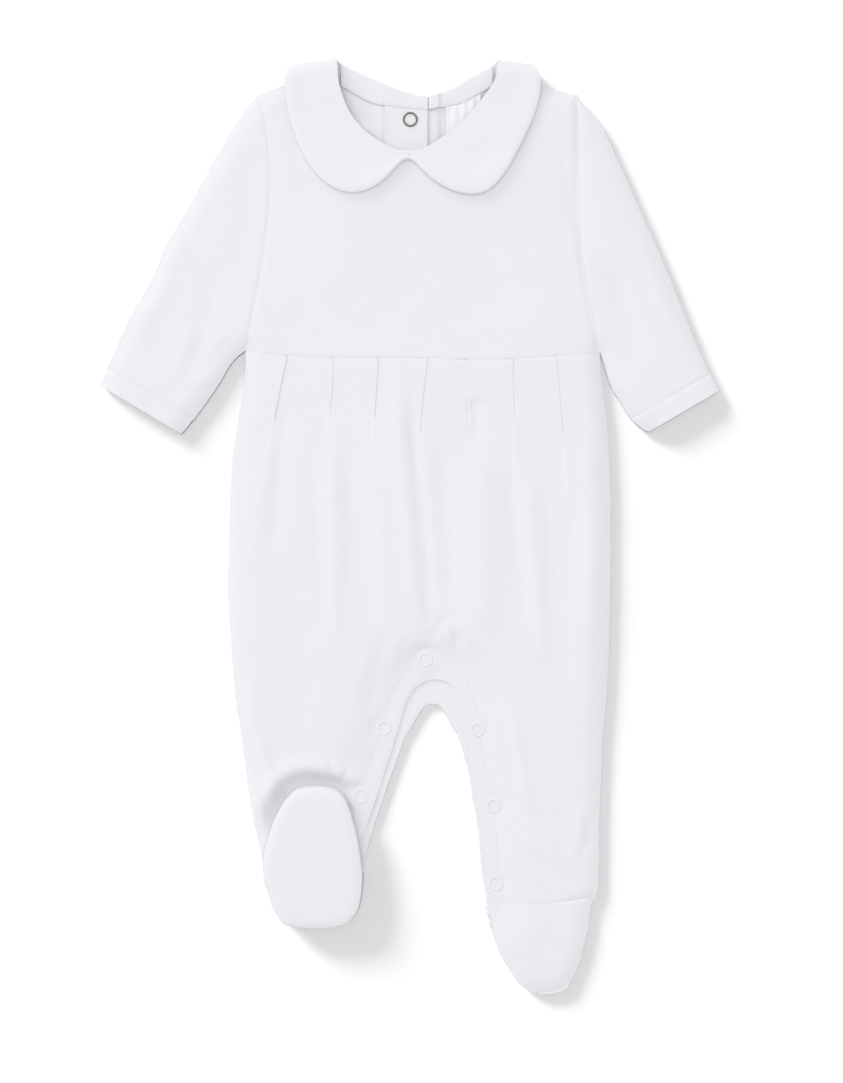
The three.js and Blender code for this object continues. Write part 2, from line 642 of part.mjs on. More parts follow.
// Back of the lower suit: one panel with both legs, flat on the surface
{
  const sheet = new Sheet(backWall)
  const upperRows = 11
  const legRows = 12
  const count = 8
  const shared = new Map()
  const rowsOf = { left: [], right: [] }
  const heel = -246
  const heelLeft = curve([{ y: -236, x: -83.5 }, { y: -240, x: -81.6 }, { y: -244.4, x: -77 }, { y: -246.2, x: -66 }], 'y', 'x')
  const heelRight = curve([{ y: -236, x: -34 }, { y: -240, x: -36.4 }, { y: -243.8, x: -41 }, { y: -246.2, x: -50 }], 'y', 'x')
  for (const half of ['left', 'right']) {
    const left = half === 'left'
    const sideX = y => left ? (y < -236 ? heelLeft(y) : sideLeft(y)) : sideRight(y)
    const inX = y => {
      if (left) return y < -226 ? Math.min(backInLeft(y), mix(backInLeft(y), heelRight(y), soft((-226 - y) / 10))) : backInLeft(y)
      return backInRight(y)
    }
    const shares = (width) => {
      const edges = edgeSteps(floorRound).map(step => step / width)
      return [...edges, ...steps(edges[3], 1, count - 4).slice(1)]
    }
    for (let r = 0; r <= upperRows; r++) {
      const share = r / upperRows
      const row = []
      for (let c = 0; c < count; c++) {
        if (c === count - 1 && shared.has(r)) {
          row.push(shared.get(r))
          continue
        }
        const inner = y => curve([{ y: 106, x: 6 }, { y: backCrotch, x: 15.5 }], 'y', 'x')(y)
        const xAt = y => mix(sideX(y), inner(y), shares(Math.abs(inner(y) - sideX(y)))[c])
        const yAt = at => mix(backWaistY(at) - seamGap / 2, backCrotch, share)
        const [x, y] = settle(xAt, yAt, mix(105, backCrotch, share))
        const edge = c === 0
        const z = edge ? backSeam : backBottom(x, y)
        let fix = edge ? level : null
        if (r === 0) fix = edge ? levelY : plumbY
        const v = sheet.add(x, y, z, fix)
        if (c === count - 1) shared.set(r, v)
        row.push(v)
      }
      rowsOf[half].push(row)
    }
    const end = left ? heel : -231.3
    const drops = [0.9, 3, 7.5, 14, ...steps(22, backCrotch - end - (left ? 6 : 8), legRows - 5), ...(left ? [backCrotch - end - 3, backCrotch - end - 0.9] : []), backCrotch - end]
    drops.forEach((drop, at) => {
      const y = backCrotch - drop
      const last = at === drops.length - 1
      const row = []
      const width = Math.abs(inX(y) - sideX(y))
      for (let c = 0; c < count; c++) {
        const x = mix(sideX(y), inX(y), shares(width)[c])
        const heelSide = left && c === count - 1 && y < -234
        const edge = c === 0 || heelSide || (left && last)
        const z = edge ? backSeam : backBottom(x, y)
        let fix = edge ? level : null
        if (last && !left) fix = edge ? levelY : plumbY
        row.push(sheet.add(x, y, z, fix))
      }
      rowsOf[half].push(row)
    })
  }
  sheet.weave(rowsOf.left.map(row => [...row].reverse()))
  sheet.weave(rowsOf.right)
  piece('back_lower', sheet.solid())
}

// Band on the inner face of the back panel, round the crotch from ankle to ankle
{
  const sheet = new Sheet(bandWall)
  const bandWidth = curve([{ y: -109, w: 24 }, { y: -150, w: 20 }, { y: -232, w: 17 }], 'y', 'w')
  const rows = []
  const edge = [
    ...steps(-223, -113, 16).map(y => [backInLeft(y) - 0.4, y]),
    [9.6, -110.9], [15.2, -109.6], [19, -111.2],
    ...steps(-114.5, -229, 16).map(y => [backInRight(y) + 0.4, y])
  ]
  edge.forEach(([x, y], i) => {
    const before = edge[Math.max(0, i - 1)]
    const after = edge[Math.min(edge.length - 1, i + 1)]
    const nx = before[1] - after[1]
    const ny = after[0] - before[0]
    const size = Math.hypot(nx, ny)
    const top = bandRoom + bandWall
    const row = [0, 0.5, 1].map(part => {
      const reach = part * bandWidth(y)
      return sheet.add(x + nx / size * reach, y + ny / size * reach, top)
    })
    rows.push(row)
  })
  sheet.weave(rows)
  piece('back_inseam_band', sheet.solid())
}

// Sleeves: flattened tubes set into the armholes
for (const side of ['left', 'right']) {
  const sheet = new Sheet(frontWall)
  const lines = sleeveLines[side]
  const arm = side === 'left' ? armLeft : armRight
  const sign = side === 'left' ? -1 : 1
  const rows = []
  const along = [0, 0.05, 0.16, 0.29, 0.42, 0.55, 0.68, 0.8, 0.88, 0.925, 0.94, 1]
  for (const share of along) {
    const out = lines.out(share)
    const inn = lines.inn(share)
    const width = out.distanceTo(inn)
    const high = edgeSteps(topRound).map(step => step / width)
    const low = edgeSteps(floorRound).map(step => step / width)
    const top = [...high, ...steps(high[3], 1 - high[3], 7).slice(1, -1), ...high.map(step => 1 - step).reverse()]
    const under = [...low.slice(1), ...steps(low[3], 1 - low[3], 6).slice(1, -1), ...low.slice(1).map(step => 1 - step).reverse()]
    const at = (part) => {
      const x = mix(out.x, inn.x, part)
      const y = mix(out.y, inn.y, part)
      const y0 = mix(lines.out(0).y, lines.inn(0).y, part)
      const line0 = mix(lines.out(0).x, lines.inn(0).x, part)
      return [x + (arm(y0) - line0) * (1 - share) ** 2 + sign * (seamGap / 2 + 0.1), y]
    }
    const end = share === 0
    const cuff = share === 1
    const seam = end ? plumbX : null
    const toCuff = new THREE.Vector3().subVectors(lines.inn(1), lines.out(1)).normalize()
    const plumbCuff = { plumb: new THREE.Vector3(-toCuff.y, toCuff.x, 0) }
    const hemUp = share > 0.93 ? hemRaise : share > 0.92 ? -0.25 : 0
    const row = []
    top.forEach((part, i) => {
      const [x, y] = at(part)
      const edge = i === 0 || i === top.length - 1
      const z = edge ? (frontSeam + backSeam) / 2 : frontTop(x, y) + hemUp
      let fix = edge ? (end ? levelX : level) : seam
      if (cuff) fix = edge ? { level: true, plumb: plumbCuff.plumb } : plumbCuff
      row.push(sheet.add(x, y, z, fix))
    })
    ;[...under].reverse().forEach(part => {
      const [x, y] = at(part)
      const fix = cuff ? plumbCuff : seam
      row.push(sheet.add(x, y, backBottom(x, y), fix))
    })
    rows.push(row)
  }
  sheet.weave(side === 'left' ? rows : rows.map(row => [...row].reverse()), true)
  piece('sleeve_' + side, sheet.solid())
}

// Front yoke, from the waist seam to the shoulders, with the neck cut out
{
  const sheet = new Sheet(frontWall)
  const rowsOf = { left: [], right: [] }
  const shared = new Map()
  const shares = [0, 0.05, 0.16, 0.32, 0.5, 0.68, 0.84, 0.94, 1]
  const count = shares.length
  const upperRows = 10
  const tops = [0.02, 0.08, 0.2, 0.36, 0.52, 0.68, 0.82, 0.91, 0.975, 1]
  for (const half of ['left', 'right']) {
    const left = half === 'left'
    const arm = y => left ? armLeft(y) + seamGap / 2 : armRight(y) - seamGap / 2
    const neck = left ? neckLeft : neckRight
    for (let r = 0; r <= upperRows; r++) {
      const share = (r / upperRows) ** 1.15
      const row = []
      for (let c = 0; c < count; c++) {
        if (c === count - 1 && shared.has(r)) {
          row.push(shared.get(r))
          continue
        }
        const xAt = y => mix(arm(y), mix(-7, -0.3, clamp((y - 105) / 127)), shares[c])
        const yAt = at => mix(waistY(at) + seamGap / 2, neckDip, share)
        const [x, y] = settle(xAt, yAt, mix(105, neckDip, share))
        const corner = r === 0 && c === 0
        const z = corner ? frontSeam : frontTop(x, y)
        let fix = c === 0 ? plumbX : null
        if (r === 0) fix = corner ? levelY : plumbY
        const v = sheet.add(x, y, z, fix)
        if (c === count - 1) shared.set(r, v)
        row.push(v)
      }
      rowsOf[half].push(row)
    }
    for (const share of tops) {
      const row = []
      for (let c = 0; c < count; c++) {
        const xAt = y => mix(arm(y), neck(y), shares[c])
        const yAt = at => mix(neckDip, shoulderY(at), share)
        const [x, y] = settle(xAt, yAt, mix(neckDip, 275, share))
        const top = share === 1
        const z = top ? frontSeam : frontTop(x, y)
        let fix = c === 0 ? plumbX : null
        if (top) fix = c === 0 ? levelX : level
        row.push(sheet.add(x, y, z, fix))
      }
      rowsOf[half].push(row)
    }
  }
  sheet.weave(rowsOf.left.map(row => [...row].reverse()))
  sheet.weave(rowsOf.right)
  piece('front_yoke', sheet.solid())
}

// Back halves, which lap at the centre under the inner placket
for (const half of ['left', 'right']) {
  const sheet = new Sheet(backWall)
  const left = half === 'left'
  const arm = y => left ? armLeft(y) + seamGap / 2 : armRight(y) - seamGap / 2
  const lap = left ? lapLeft - 6 : lapLeft
  const onLap = left ? [lapLeft - 1.4, lapLeft + 6, 3, lapRight] : []
  const shares = [0, 0.09, 0.24, 0.42, left ? 0.66 : 0.56, left ? 0.84 : 0.72, ...(left ? [1] : [0.86, 1])]
  const columns = [...shares.map(part => y => mix(arm(y), lap, part)), ...onLap.map(x => () => x)]
  const rows = []
  const heights = [0, 0.1, 0.24, 0.38, 0.52, 0.64, 0.72, 0.79, 0.86, 0.92, 0.96, 0.985, 1]
  for (const share of heights) {
    const row = []
    columns.forEach((xAt, c) => {
      const inShoulder = x => left ? x < -46 : x > 55
      const topAt = x => inShoulder(x) ? shoulderY(x) : backNeckY(x) - 1.5
      const [x, y] = settle(xAt, at => mix(backWaistY(at) + seamGap / 2, topAt(at), share), mix(105, 270, share))
      const lift = left ? lapLift(x) : 0
      const top = share === 1
      const onShoulder = top && (inShoulder(x) || c === 0)
      const corner = share === 0 && c === 0
      const z = onShoulder || corner ? backSeam : backBottom(x, y, lift)
      let fix = c === 0 ? plumbX : null
      if (share === 0) fix = corner ? levelY : plumbY
      if (onShoulder) fix = c === 0 ? levelX : level
      row.push(sheet.add(x, y, z, fix))
    })
    rows.push(row)
  }
  sheet.weave(left ? rows : rows.map(row => [...row].reverse()))
  piece('back_yoke_' + half, sheet.solid())
}

// Collar halves: a lobe on the yoke that folds over the shoulder and lies under the back
for (const side of ['left', 'right']) {
  const left = side === 'left'
  const sheet = new Sheet(collarWall)
  const neck = path(left ? collarLeftNeck : collarRightNeck)
  const outer = path(left ? collarLeftOuter : collarRightOuter)
  const backRows = left ? collarLeftBack : collarRightBack
  const backNeckPath = path(backRows.map(row => ({ x: row.neckX, y: row.neckY })))
  const backOutPath = path(backRows.map(row => ({ x: row.outX, y: row.outY })))
  const foldFrom = neck(1)
  const foldTo = outer(1)
  const foldLine = [[[foldFrom.x, foldFrom.y], [foldTo.x, foldTo.y]]]
  const parts = [0, 0.1, 0.36, 0.66, 0.92, 1]
  const foldHeightMid = 5.4
  const rows = []
  const frontShares = [0, 0.05, 0.12, 0.19, 0.26, 0.33, 0.4, 0.47, 0.54, 0.61, 0.69, 0.77, 0.85, 0.92, 0.96, 0.985]
  for (const share of frontShares) {
    const from = neck(share)
    const to = outer(share)
    rows.push(parts.map(part => {
      const x = mix(from.x, to.x, part)
      const y = mix(from.y, to.y, part)
      const base = crown(x, y) + seamGap + collarWall + 0.25 + 0.5 * soft((part - 0.6) / 0.4)
      const away = distance(x, y, foldLine)
      return sheet.add(x, y, foldHeightMid + (base - foldHeightMid) * rise(away / collarFold))
    }))
  }
  rows.push(parts.map(part => sheet.add(mix(foldFrom.x, foldTo.x, part), mix(foldFrom.y, foldTo.y, part), foldHeightMid, level, 1.5)))
  const backShares = [0.02, 0.07, 0.16, 0.28, 0.4, 0.52, 0.64, 0.76, 0.88, 1]
  for (const share of backShares) {
    const from = backNeckPath(share)
    const to = backOutPath(share)
    rows.push(parts.map(part => {
      const x = mix(from.x, to.x, part)
      const y = mix(from.y, to.y, part)
      const away = distance(x, y, foldLine)
      return sheet.add(x, y, foldHeightMid * (1 - rise(away / collarBackFold)), null, collarBackWall)
    }))
  }
  sheet.weave(left ? rows : rows.map(row => [...row].reverse()))
  piece('collar_' + side, sheet.solid())
}

// Tape over the back neck seam, in two halves
for (const half of ['left', 'right']) {
  const left = half === 'left'
  const sheet = new Sheet(tapeWall)
  const from = left ? tapeEnds.leftStart : tapeEnds.rightStart + seamGap
  const to = left ? tapeEnds.leftEnd : tapeEnds.rightEnd
  const under = left ? leftBackTop : rightBackTop
  const xs = left ? [...steps(from, -22, 4), -17.4, -10, -2, 5, to] : steps(from, to, 8)
  const rows = xs.map(x => [0, 0.5, 1].map(part => {
    const y = mix(backNeckY(x) - 0.2, tapeLowerY(x), part)
    return sheet.add(x, y, under(x, y) + seamGap + 0.15 + tapeWall)
  }))
  sheet.weave(rows)
  piece('neck_tape_' + half, sheet.solid())
}

// Placket on the inner face of the left back half, down the whole opening
{
  const sheet = new Sheet(tapeWall)
  const rows = [tapeLowerY(0) - seamGap, 252, 243, 234, 226, 205, 180, 155, 130, 112].map((y, r) =>
    [-15.6, -12.6, -2, 11.2].map(x => {
      const top = r === 0 ? tapeLowerY(x) - seamGap : y
      return sheet.add(x, top, leftBackTop(Math.max(x, -11.5), top) + seamGap + 0.2 + tapeWall)
    })
  )
  sheet.weave(rows)
  piece('back_placket', sheet.solid())
}

// Plain woven label below the tape
{
  const sheet = new Sheet(tapeWall)
  const rows = [0, 0.34, 0.67, 1].map(part => steps(label.left, label.right, 4).map((x, c) => {
    const top = tapeLowerY(x) - seamGap
    const y = mix(top, tapeLowerY(label.left + 10) - label.drop, part)
    const curl = 0.5 * part * gauss((c - 1) / 1.6)
    return sheet.add(x, y, rightBackTop(x, y) + seamGap + tapeWall + curl)
  }))
  sheet.weave(rows)
  piece('neck_label', sheet.solid(), { color: 0xfafafa, roughness: 0.45, metalness: 0 })
}

// Right foot: the upper on top, the sole under it
{
  const parts = [0, 0.022, 0.08, 0.17, 0.33, 0.5, 0.67, 0.83, 0.92, 0.978, 1]
  const ys = [-231, -240, -250, -260, -270, -278, -283.4, -286.6, -288.3]
  for (const upper of [true, false]) {
    const sheet = new Sheet(upper ? frontWall : backWall)
    const rows = ys.map((y0, r) => parts.map((part, c) => {
      const first = r === 0
      const last = r === ys.length - 1
      const start = upper ? rightHemY : () => -231.3
      const xOf = y => mix(footRightL(y), footRightR(y), part)
      let x = xOf(y0)
      let y = y0
      if (first) y = Math.min(start(x) - seamGap / 2, upper ? -229.8 : 0)
      if (last) y = mix(y0, toe, 1 - (2 * part - 1) ** 2)
      const edge = c === 0 || c === parts.length - 1 || last
      const rim = upper ? frontSeam : backSeam
      const open = upper ? inseamEdge + hemRaise : 0
      const rimLeft = c === 0 ? mix(open, rim, soft((-231 - y) / 9)) : rim
      const z = edge ? rimLeft : upper ? Math.max(frontTop(x, y, true), frontSeam + 0.9) : backBottom(x, y)
      let fix = edge ? level : null
      if (first) fix = edge ? levelY : plumbY
      return sheet.add(x, y, z, fix)
    }))
    sheet.weave(upper ? rows : rows.map(row => [...row].reverse()))
    piece(upper ? 'foot_right_upper' : 'foot_right_sole', sheet.solid())
  }
}

// Left foot, folded up on the leg: its hidden layers are one rounded solid, the sole lies on top
const footPillow = (x, y) => {
  const away = distance(x, y, leftFootEdge)
  const length = clamp((-160 - y) / 88)
  return footRim + (footTop - 0.8 * (2 * length - 1) ** 2 - footRim) * rise(away / 9)
}
{
  const parts = [0, 0.03, 0.1, 0.22, 0.4, 0.6, 0.78, 0.9, 0.97, 1]
  const ys = [-159.8, -161.2, -164.6, -170, -179, -189, -199, -208, -217, -226.6, -229.4, -236, -241, -245.4, -247.6]
  const sheet = new Sheet(1)
  const rows = ys.map((y0, r) => parts.map((part, c) => {
    const x = mix(footLeftL(y0), footLeftR(y0), part)
    const last = r === ys.length - 1
    const first = r === 0
    const bow = 1 - (2 * part - 1) ** 2
    const y = y0 + (first ? 0.5 * bow : last ? -0.5 * bow : 0)
    const edge = first || last || c === 0 || c === parts.length - 1
    return sheet.add(x, y, edge ? footRim + 0.9 : footPillow(x, y))
  }))
  sheet.weave(rows)
  const snap = frontSnaps[3]
  const under = p => {
    const onLeg = p.y > leftHem - 0.6
    const away = inLeftFoot(p.x, p.y) ? distance(p.x, p.y, leftFootEdge) : 0
    const rest = onLeg ? frontTop(p.x, p.y, true) + seamGap : backBottom(p.x, p.y) + backWall + 0.9
    const near = Math.hypot(p.x - snap.x, p.y - snap.y)
    const room = onLeg ? (snapHeight + 0.6) * soft((16 - near) / 6) : 0
    const low = Math.max(rest + room, onLeg ? pressedLeg + seamGap : 0)
    const rim = footRim - 0.9
    return new THREE.Vector3(p.x, p.y, Math.min(rim, rim + (low - rim) * rise(away / 6)))
  }
  piece('foot_left_layers', sheet.solid(under, [{ share: 0.5, inset: 1 }]))

  const sole = new Sheet(1.2)
  const soleRows = [-163, -166.4, -171.5, -180, -190, -200, -210, -220, -230, -238, -242.4, -244.6]
  sole.weave(soleRows.map((y0, r) => [0, 0.06, 0.2, 0.4, 0.6, 0.8, 0.94, 1].map(part => {
    const last = r === soleRows.length - 1
    const first = r === 0
    const bow = 1 - (2 * part - 1) ** 2
    const x = mix(footLeftL(y0) + soleInset, footLeftR(y0) - soleInset, part)
    const y = y0 + (first ? 0.4 * bow : last ? -0.4 * bow : 0)
    return sole.add(x, y, footPillow(x, y) + seamGap + 1.2 + 0.15)
  })))
  piece('foot_left_sole', sole.solid())
}

// Ring snaps, cap rings of cast metal in white or nickel
function snap(name, x, y, base, look) {
  const z = base + seamGap + 0.1
  const ring = [
    [snapHole, 0], [snapRadius - 0.2, 0], [snapRadius, 0.4], [snapRadius - 0.7, snapHeight], [snapHole + 0.5, snapHeight - 0.1],
    [snapHole, 0]
  ].map(([radius, up]) => new THREE.Vector2(radius, up))
  const geometry = new THREE.LatheGeometry(ring, 16)
  geometry.rotateX(Math.PI / 2)
  geometry.translate(x, y, z)
  piece(name, geometry, look)
}
for (const { name, x, y, base } of frontSnaps) {
  snap(name, x, y, base, { color: 0xf4f5f8, roughness: 0.35, metalness: 0.1 })
}
for (const { name, x, y } of backSnaps) {
  snap(name, x, y, leftBackTop(x, y) + seamGap + 0.3 + tapeWall, { color: 0x9a9691, roughness: 0.3, metalness: 1 })
}

// The origin is the middle of the footprint, on the surface that the suit rests on
const bounds = new THREE.Box3().setFromObject(group)
const middle = bounds.getCenter(new THREE.Vector3())
for (const mesh of group.children) {
  mesh.geometry.translate(-middle.x, -middle.y, -bounds.min.z)
}

export default group
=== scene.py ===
import math
import bpy
import bmesh
import numpy as np
from mathutils import Matrix, Vector


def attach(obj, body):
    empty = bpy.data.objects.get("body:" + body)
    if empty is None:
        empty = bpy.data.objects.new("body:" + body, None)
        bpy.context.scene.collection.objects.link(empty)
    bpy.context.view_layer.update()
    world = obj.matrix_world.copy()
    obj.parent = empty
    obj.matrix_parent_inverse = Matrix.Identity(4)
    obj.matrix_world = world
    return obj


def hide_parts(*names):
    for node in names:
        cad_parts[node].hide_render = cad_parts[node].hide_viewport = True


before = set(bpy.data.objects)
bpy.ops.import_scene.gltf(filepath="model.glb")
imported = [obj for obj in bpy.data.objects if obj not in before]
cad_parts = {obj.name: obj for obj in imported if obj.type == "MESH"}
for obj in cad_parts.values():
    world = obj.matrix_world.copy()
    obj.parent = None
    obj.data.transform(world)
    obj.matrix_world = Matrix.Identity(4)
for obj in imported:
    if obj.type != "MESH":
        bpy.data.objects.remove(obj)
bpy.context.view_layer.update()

mm = 0.001
print("frame loaded,", len(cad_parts), "solids")

# Sizes in millimetres, +Y to the neck, left and right as seen from above
suit = {
    "frontWall": 1.4,
    "backWall": 1.3,
    "collarWall": 1.8,
    "tapeWall": 1.0,
    "bandWall": 1.2,
    "seamGap": 0.3,  # between layers
    "joinGap": 0.03,  # where two pieces are sewn edge to edge
    "backSeam": 4.0,  # height of the side seam above the surface
    "frontSeam": 4.15,
    "topRound": 13,  # how far in the front cloth rounds away
    "floorRound": 8,
    "sleeveCrown": 7.9,
    "sleeveEdge": 4.45,
    "sideFall": 0.9,
    "inseamEdge": 4.2,
    "inseamRise": 30,
    "plackWidth": 10,
    "pressedLeg": 5.9,
    "frontCrotch": -94.2,
    "backCrotch": -109,
    "neckDip": 232.3,
    "leftHem": -226.5,
    "collarRaise": 1.6,
    "lapRaise": 1.6,
    "lapLeft": -16,
    "lapRight": 11.8,
    "waist": 105,
    "snapRim": 5.2,  # flat seat round a snap
}


def table(names, rows):
    values = np.array(rows, dtype=float)
    return {name: values[:, i] for i, name in enumerate(names.split())}


sides = table("y left right", [
    [111, -101.7, 117.9], [102, -101.7, 118.3], [90, -102.6, 119.3], [65, -106.3, 122.5],
    [41, -110, 123.9], [16, -111.3, 124.9], [-34, -112.5, 124.6], [-83, -110, 123.4],
    [-108, -107.6, 121.9], [-133, -103.8, 119.7], [-158, -100.6, 118.6], [-183, -96.4, 117.8],
    [-207, -91, 117.5], [-220, -88.6, 117.3], [-227, -87, 116.2], [-236, -83.5, 112],
])
backInseam = table("y left right", [
    [-109, 15.5, 15.5], [-110.2, 11.5, 18], [-112.5, 8.6, 20], [-117, 5.4, 22.8],
    [-124, 1.6, 26.6], [-130, -2.2, 30.4], [-138.5, -5.3, 33], [-156, -11.6, 37.4],
    [-170, -16.4, 39.4], [-182.6, -20.7, 41.9], [-195, -24.4, 43.4], [-213, -28.6, 44.8],
    [-232, -32, 48.2], [-246, -38, 50],
])
frontInseam = table("y left right", [
    [-94.2, 15.8, 15.8], [-95.1, 10.4, 21.8], [-97.2, 6.2, 25.2], [-101, 2.2, 27.6],
    [-105, -0.2, 29.3], [-112, -3.5, 31.1], [-121, -5.8, 32.9], [-130, -8.8, 34.1],
    [-138, -10.9, 35.2], [-146, -13.8, 36.4], [-158, -17.4, 38.6], [-176, -23.4, 41.4],
    [-191, -28.5, 43.8], [-213, -32, 45.4], [-232, -35, 48.6],
])
waistSeam = table("x y", [
    [-102, 109.8], [-90, 107.9], [-70.5, 106], [-48, 105.3], [-20, 105], [12.7, 104.8],
    [37, 104.2], [63, 104.4], [91, 106.3], [118, 107.8],
])
armholes = table("y left right", [
    [109, -101.9, 118.3], [124, -99.3, 115.2], [138.6, -96.4, 112], [155, -93, 108.9],
    [178, -89.6, 106.2], [203.7, -87.1, 104.9], [221, -86.8, 104.8], [238, -88.1, 105.1],
    [257, -91.3, 104.7], [267.8, -94.3, 103.2],
])
frontNeck = table("y left right", [
    [232.3, -0.3, -0.3], [233.4, -8, 6.5], [236.4, -14.5, 12.6], [242.7, -24.5, 21.8],
    [253.9, -35, 36], [264.4, -40.9, 44.4], [276, -44, 52.6], [287, -46.2, 55.2],
])
shoulders = table("x y", [
    [-95, 267.8], [-76, 275], [-46, 286.4], [55, 285.4], [80, 274.2], [103.2, 268],
])
backNeck = table("x y", [
    [-46, 288.6], [-29.5, 281.4], [-11.8, 273.6], [2.2, 268.6], [8.7, 267.2], [14.6, 268.2],
    [26.4, 272.6], [39.4, 280], [55, 288.3],
])
sleeveEdges = table("leftOutX leftOutY rightOutX rightOutY leftInX leftInY rightInX rightInY", [
    [-94.7, 267.8, 102.9, 268.3, -101.9, 109.6, 118.4, 108.6],
    [-107, 251.4, 115.6, 253.5, -106, 106.6, 120.8, 102],
    [-121.8, 226.6, 129.3, 226.6, -110.7, 101.8, 123.8, 91.6],
    [-134.8, 201.8, 140.4, 201.8, -117.5, 90.4, 127, 84],
    [-149.7, 177, 151.6, 177, -125.5, 78.6, 131.5, 77],
    [-160.3, 152.2, 162.1, 152.2, -130.6, 71.6, 136, 69.5],
    [-174.5, 127.4, 172.1, 127.4, -135.5, 65.2, 140.6, 64.2],
    [-184.4, 104.6, 182, 103.6, -138.8, 61, 144.6, 61],
    [-191.9, 88, 191.9, 84.6, -141.7, 58, 148.2, 59.2],
])
crowns = table("y crown", [
    [290, 8.0], [262, 8.4], [232, 8.8], [170, 9], [112, 9.1], [40, 9.5], [-60, 9.2],
    [-120, 8.6], [-190, 8.3], [-240, 8.2], [-290, 7.8],
])
leftFoot = table("y left right", [
    [-159.8, -62.4, -54], [-161.2, -69, -46.5], [-165, -74, -41.4], [-170, -78, -38.4],
    [-182, -84.2, -34.4], [-192, -87.6, -32], [-204, -90.4, -30], [-216, -90.2, -28.9],
    [-226, -87.6, -29.6], [-234, -85, -31], [-241, -81.2, -34.6], [-245.4, -77.6, -39.6],
    [-247.6, -66, -50],
])
rightFoot = table("y left right", [
    [-231, 48, 113], [-240, 48.9, 111.8], [-247, 50, 111], [-256, 52.8, 109.2],
    [-265, 56.2, 106.9], [-273, 61, 104], [-279, 65, 101.4], [-283.6, 68.8, 98.6],
    [-286.6, 74, 95], [-288.3, 79, 90],
])
rightHem = table("x y", [
    [48, -231.6], [62, -232.6], [78, -232.8], [98, -231.4], [108.8, -229.6], [116.4, -226.8],
])
tapeLower = table("x y", [
    [-44, 274.6], [-34.7, 269.4], [-27.6, 265.3], [-20, 262.4], [10.5, 259], [19.3, 260.7],
    [31.7, 263], [40.6, 267.3], [51, 273.6],
])


# Small shaping functions
def mix(a, b, part):
    return a + (b - a) * part


def soft(value):
    value = np.clip(value, 0, 1)
    return value * value * (3 - 2 * value)


def rise(value):
    return np.sqrt(np.maximum(0, 1 - (1 - np.clip(value, 0, 1)) ** 2))


def gauss(value):
    return np.exp(-np.square(value))


# Climbs from an edge, steepest there but never upright
def bank(value):
    return 1 - (1 - np.clip(value, 0, 1)) ** 2.1


# Cubic from start to end, leaving and arriving along the given slopes
def cubic(t, span, start, end, leave, arrive):
    line = (1 + 2 * t) * (1 - t) ** 2 * start + t * t * (3 - 2 * t) * end
    return line + t * (1 - t) ** 2 * span * leave + t * t * (t - 1) * span * arrive


# Parabola through three values, at 0, a half and 1
def throughThree(t, a, b, c):
    return (1 - t) * (1 - 2 * t) * a + 4 * t * (1 - t) * b + t * (2 * t - 1) * c


# Smooth curve through the rows of a table that never overshoots them
def curveOf(rows, at, to):
    order = np.argsort(rows[at])
    a, b = rows[at][order], rows[to][order]
    slope = np.diff(b) / np.diff(a)
    tangent = np.concatenate([slope[:1], np.zeros(len(a) - 2), slope[-1:]])
    same = slope[:-1] * slope[1:] > 0
    total = np.where(same, slope[:-1] + slope[1:], 1)
    tangent[1:-1] = np.where(same, 2 * slope[:-1] * slope[1:] / total, 0)

    def read(value):
        value = np.clip(np.asarray(value, dtype=float), a[0], a[-1])
        i = np.clip(np.searchsorted(a, value, side="right") - 1, 0, len(a) - 2)
        span = a[i + 1] - a[i]
        return cubic((value - a[i]) / span, span, b[i], b[i + 1], tangent[i], tangent[i + 1])

    return read


def pointsOf(rows, x="x", y="y"):
    return np.column_stack([rows[x], rows[y]])


# Smooth path through points, read by the share of its length
def pathOf(points):
    pieces = np.linalg.norm(np.diff(points, axis=0), axis=1)
    along = np.concatenate([[0], np.cumsum(pieces)])
    lead = np.diff(points, axis=0) / pieces[:, None]
    weight = (pieces[1:] / (pieces[:-1] + pieces[1:]))[:, None]
    tangent = np.vstack([lead[:1], lead[:-1] * weight + lead[1:] * (1 - weight), lead[-1:]])
    fine = np.linspace(0, along[-1], 60 * len(points))
    i = np.clip(np.searchsorted(along, fine, side="right") - 1, 0, len(pieces) - 1)
    t = ((fine - along[i]) / pieces[i])[:, None]
    line = cubic(t, pieces[i][:, None], points[i], points[i + 1], tangent[i], tangent[i + 1])
    length = np.concatenate([[0], np.cumsum(np.linalg.norm(np.diff(line, axis=0), axis=1))])

    def read(share):
        where = np.clip(share, 0, 1) * length[-1]
        return np.interp(where, length, line[:, 0]), np.interp(where, length, line[:, 1])

    read.length = length[-1]
    return read


(
    (sideLeft, sideRight), (backInLeft, backInRight), (frontInLeft, frontInRight), (armLeft, armRight),
    (neckLeft, neckRight), (footLeftL, footLeftR), (footRightL, footRightR),
) = (
    (curveOf(rows, "y", "left"), curveOf(rows, "y", "right"))
    for rows in (sides, backInseam, frontInseam, armholes, frontNeck, leftFoot, rightFoot)
)
waistY, shoulderY, backNeckY, rightHemY, tapeLowerY = (
    curveOf(rows, "x", "y") for rows in (waistSeam, shoulders, backNeck, rightHem, tapeLower)
)
crownY = curveOf(crowns, "y", "crown")
centreX = curveOf(table("y x", [[106, -7.2], [45, -5], [0, -4.5], [-30, 0], [-94.2, 15.8]]), "y", "x")


def backWaistY(x):
    return mix(109.6, 107.9, (x + 102) / 220)


def trace(ys, xAt):
    return np.column_stack([xAt(ys), ys])


def traceAlong(line, count):
    return np.column_stack(line(np.linspace(0, 1, count)))


sleeveLines = {
    side: {
        "out": pathOf(pointsOf(sleeveEdges, side + "OutX", side + "OutY")),
        "inn": pathOf(pointsOf(sleeveEdges, side + "InX", side + "InY")),
    }
    for side in ("left", "right")
}

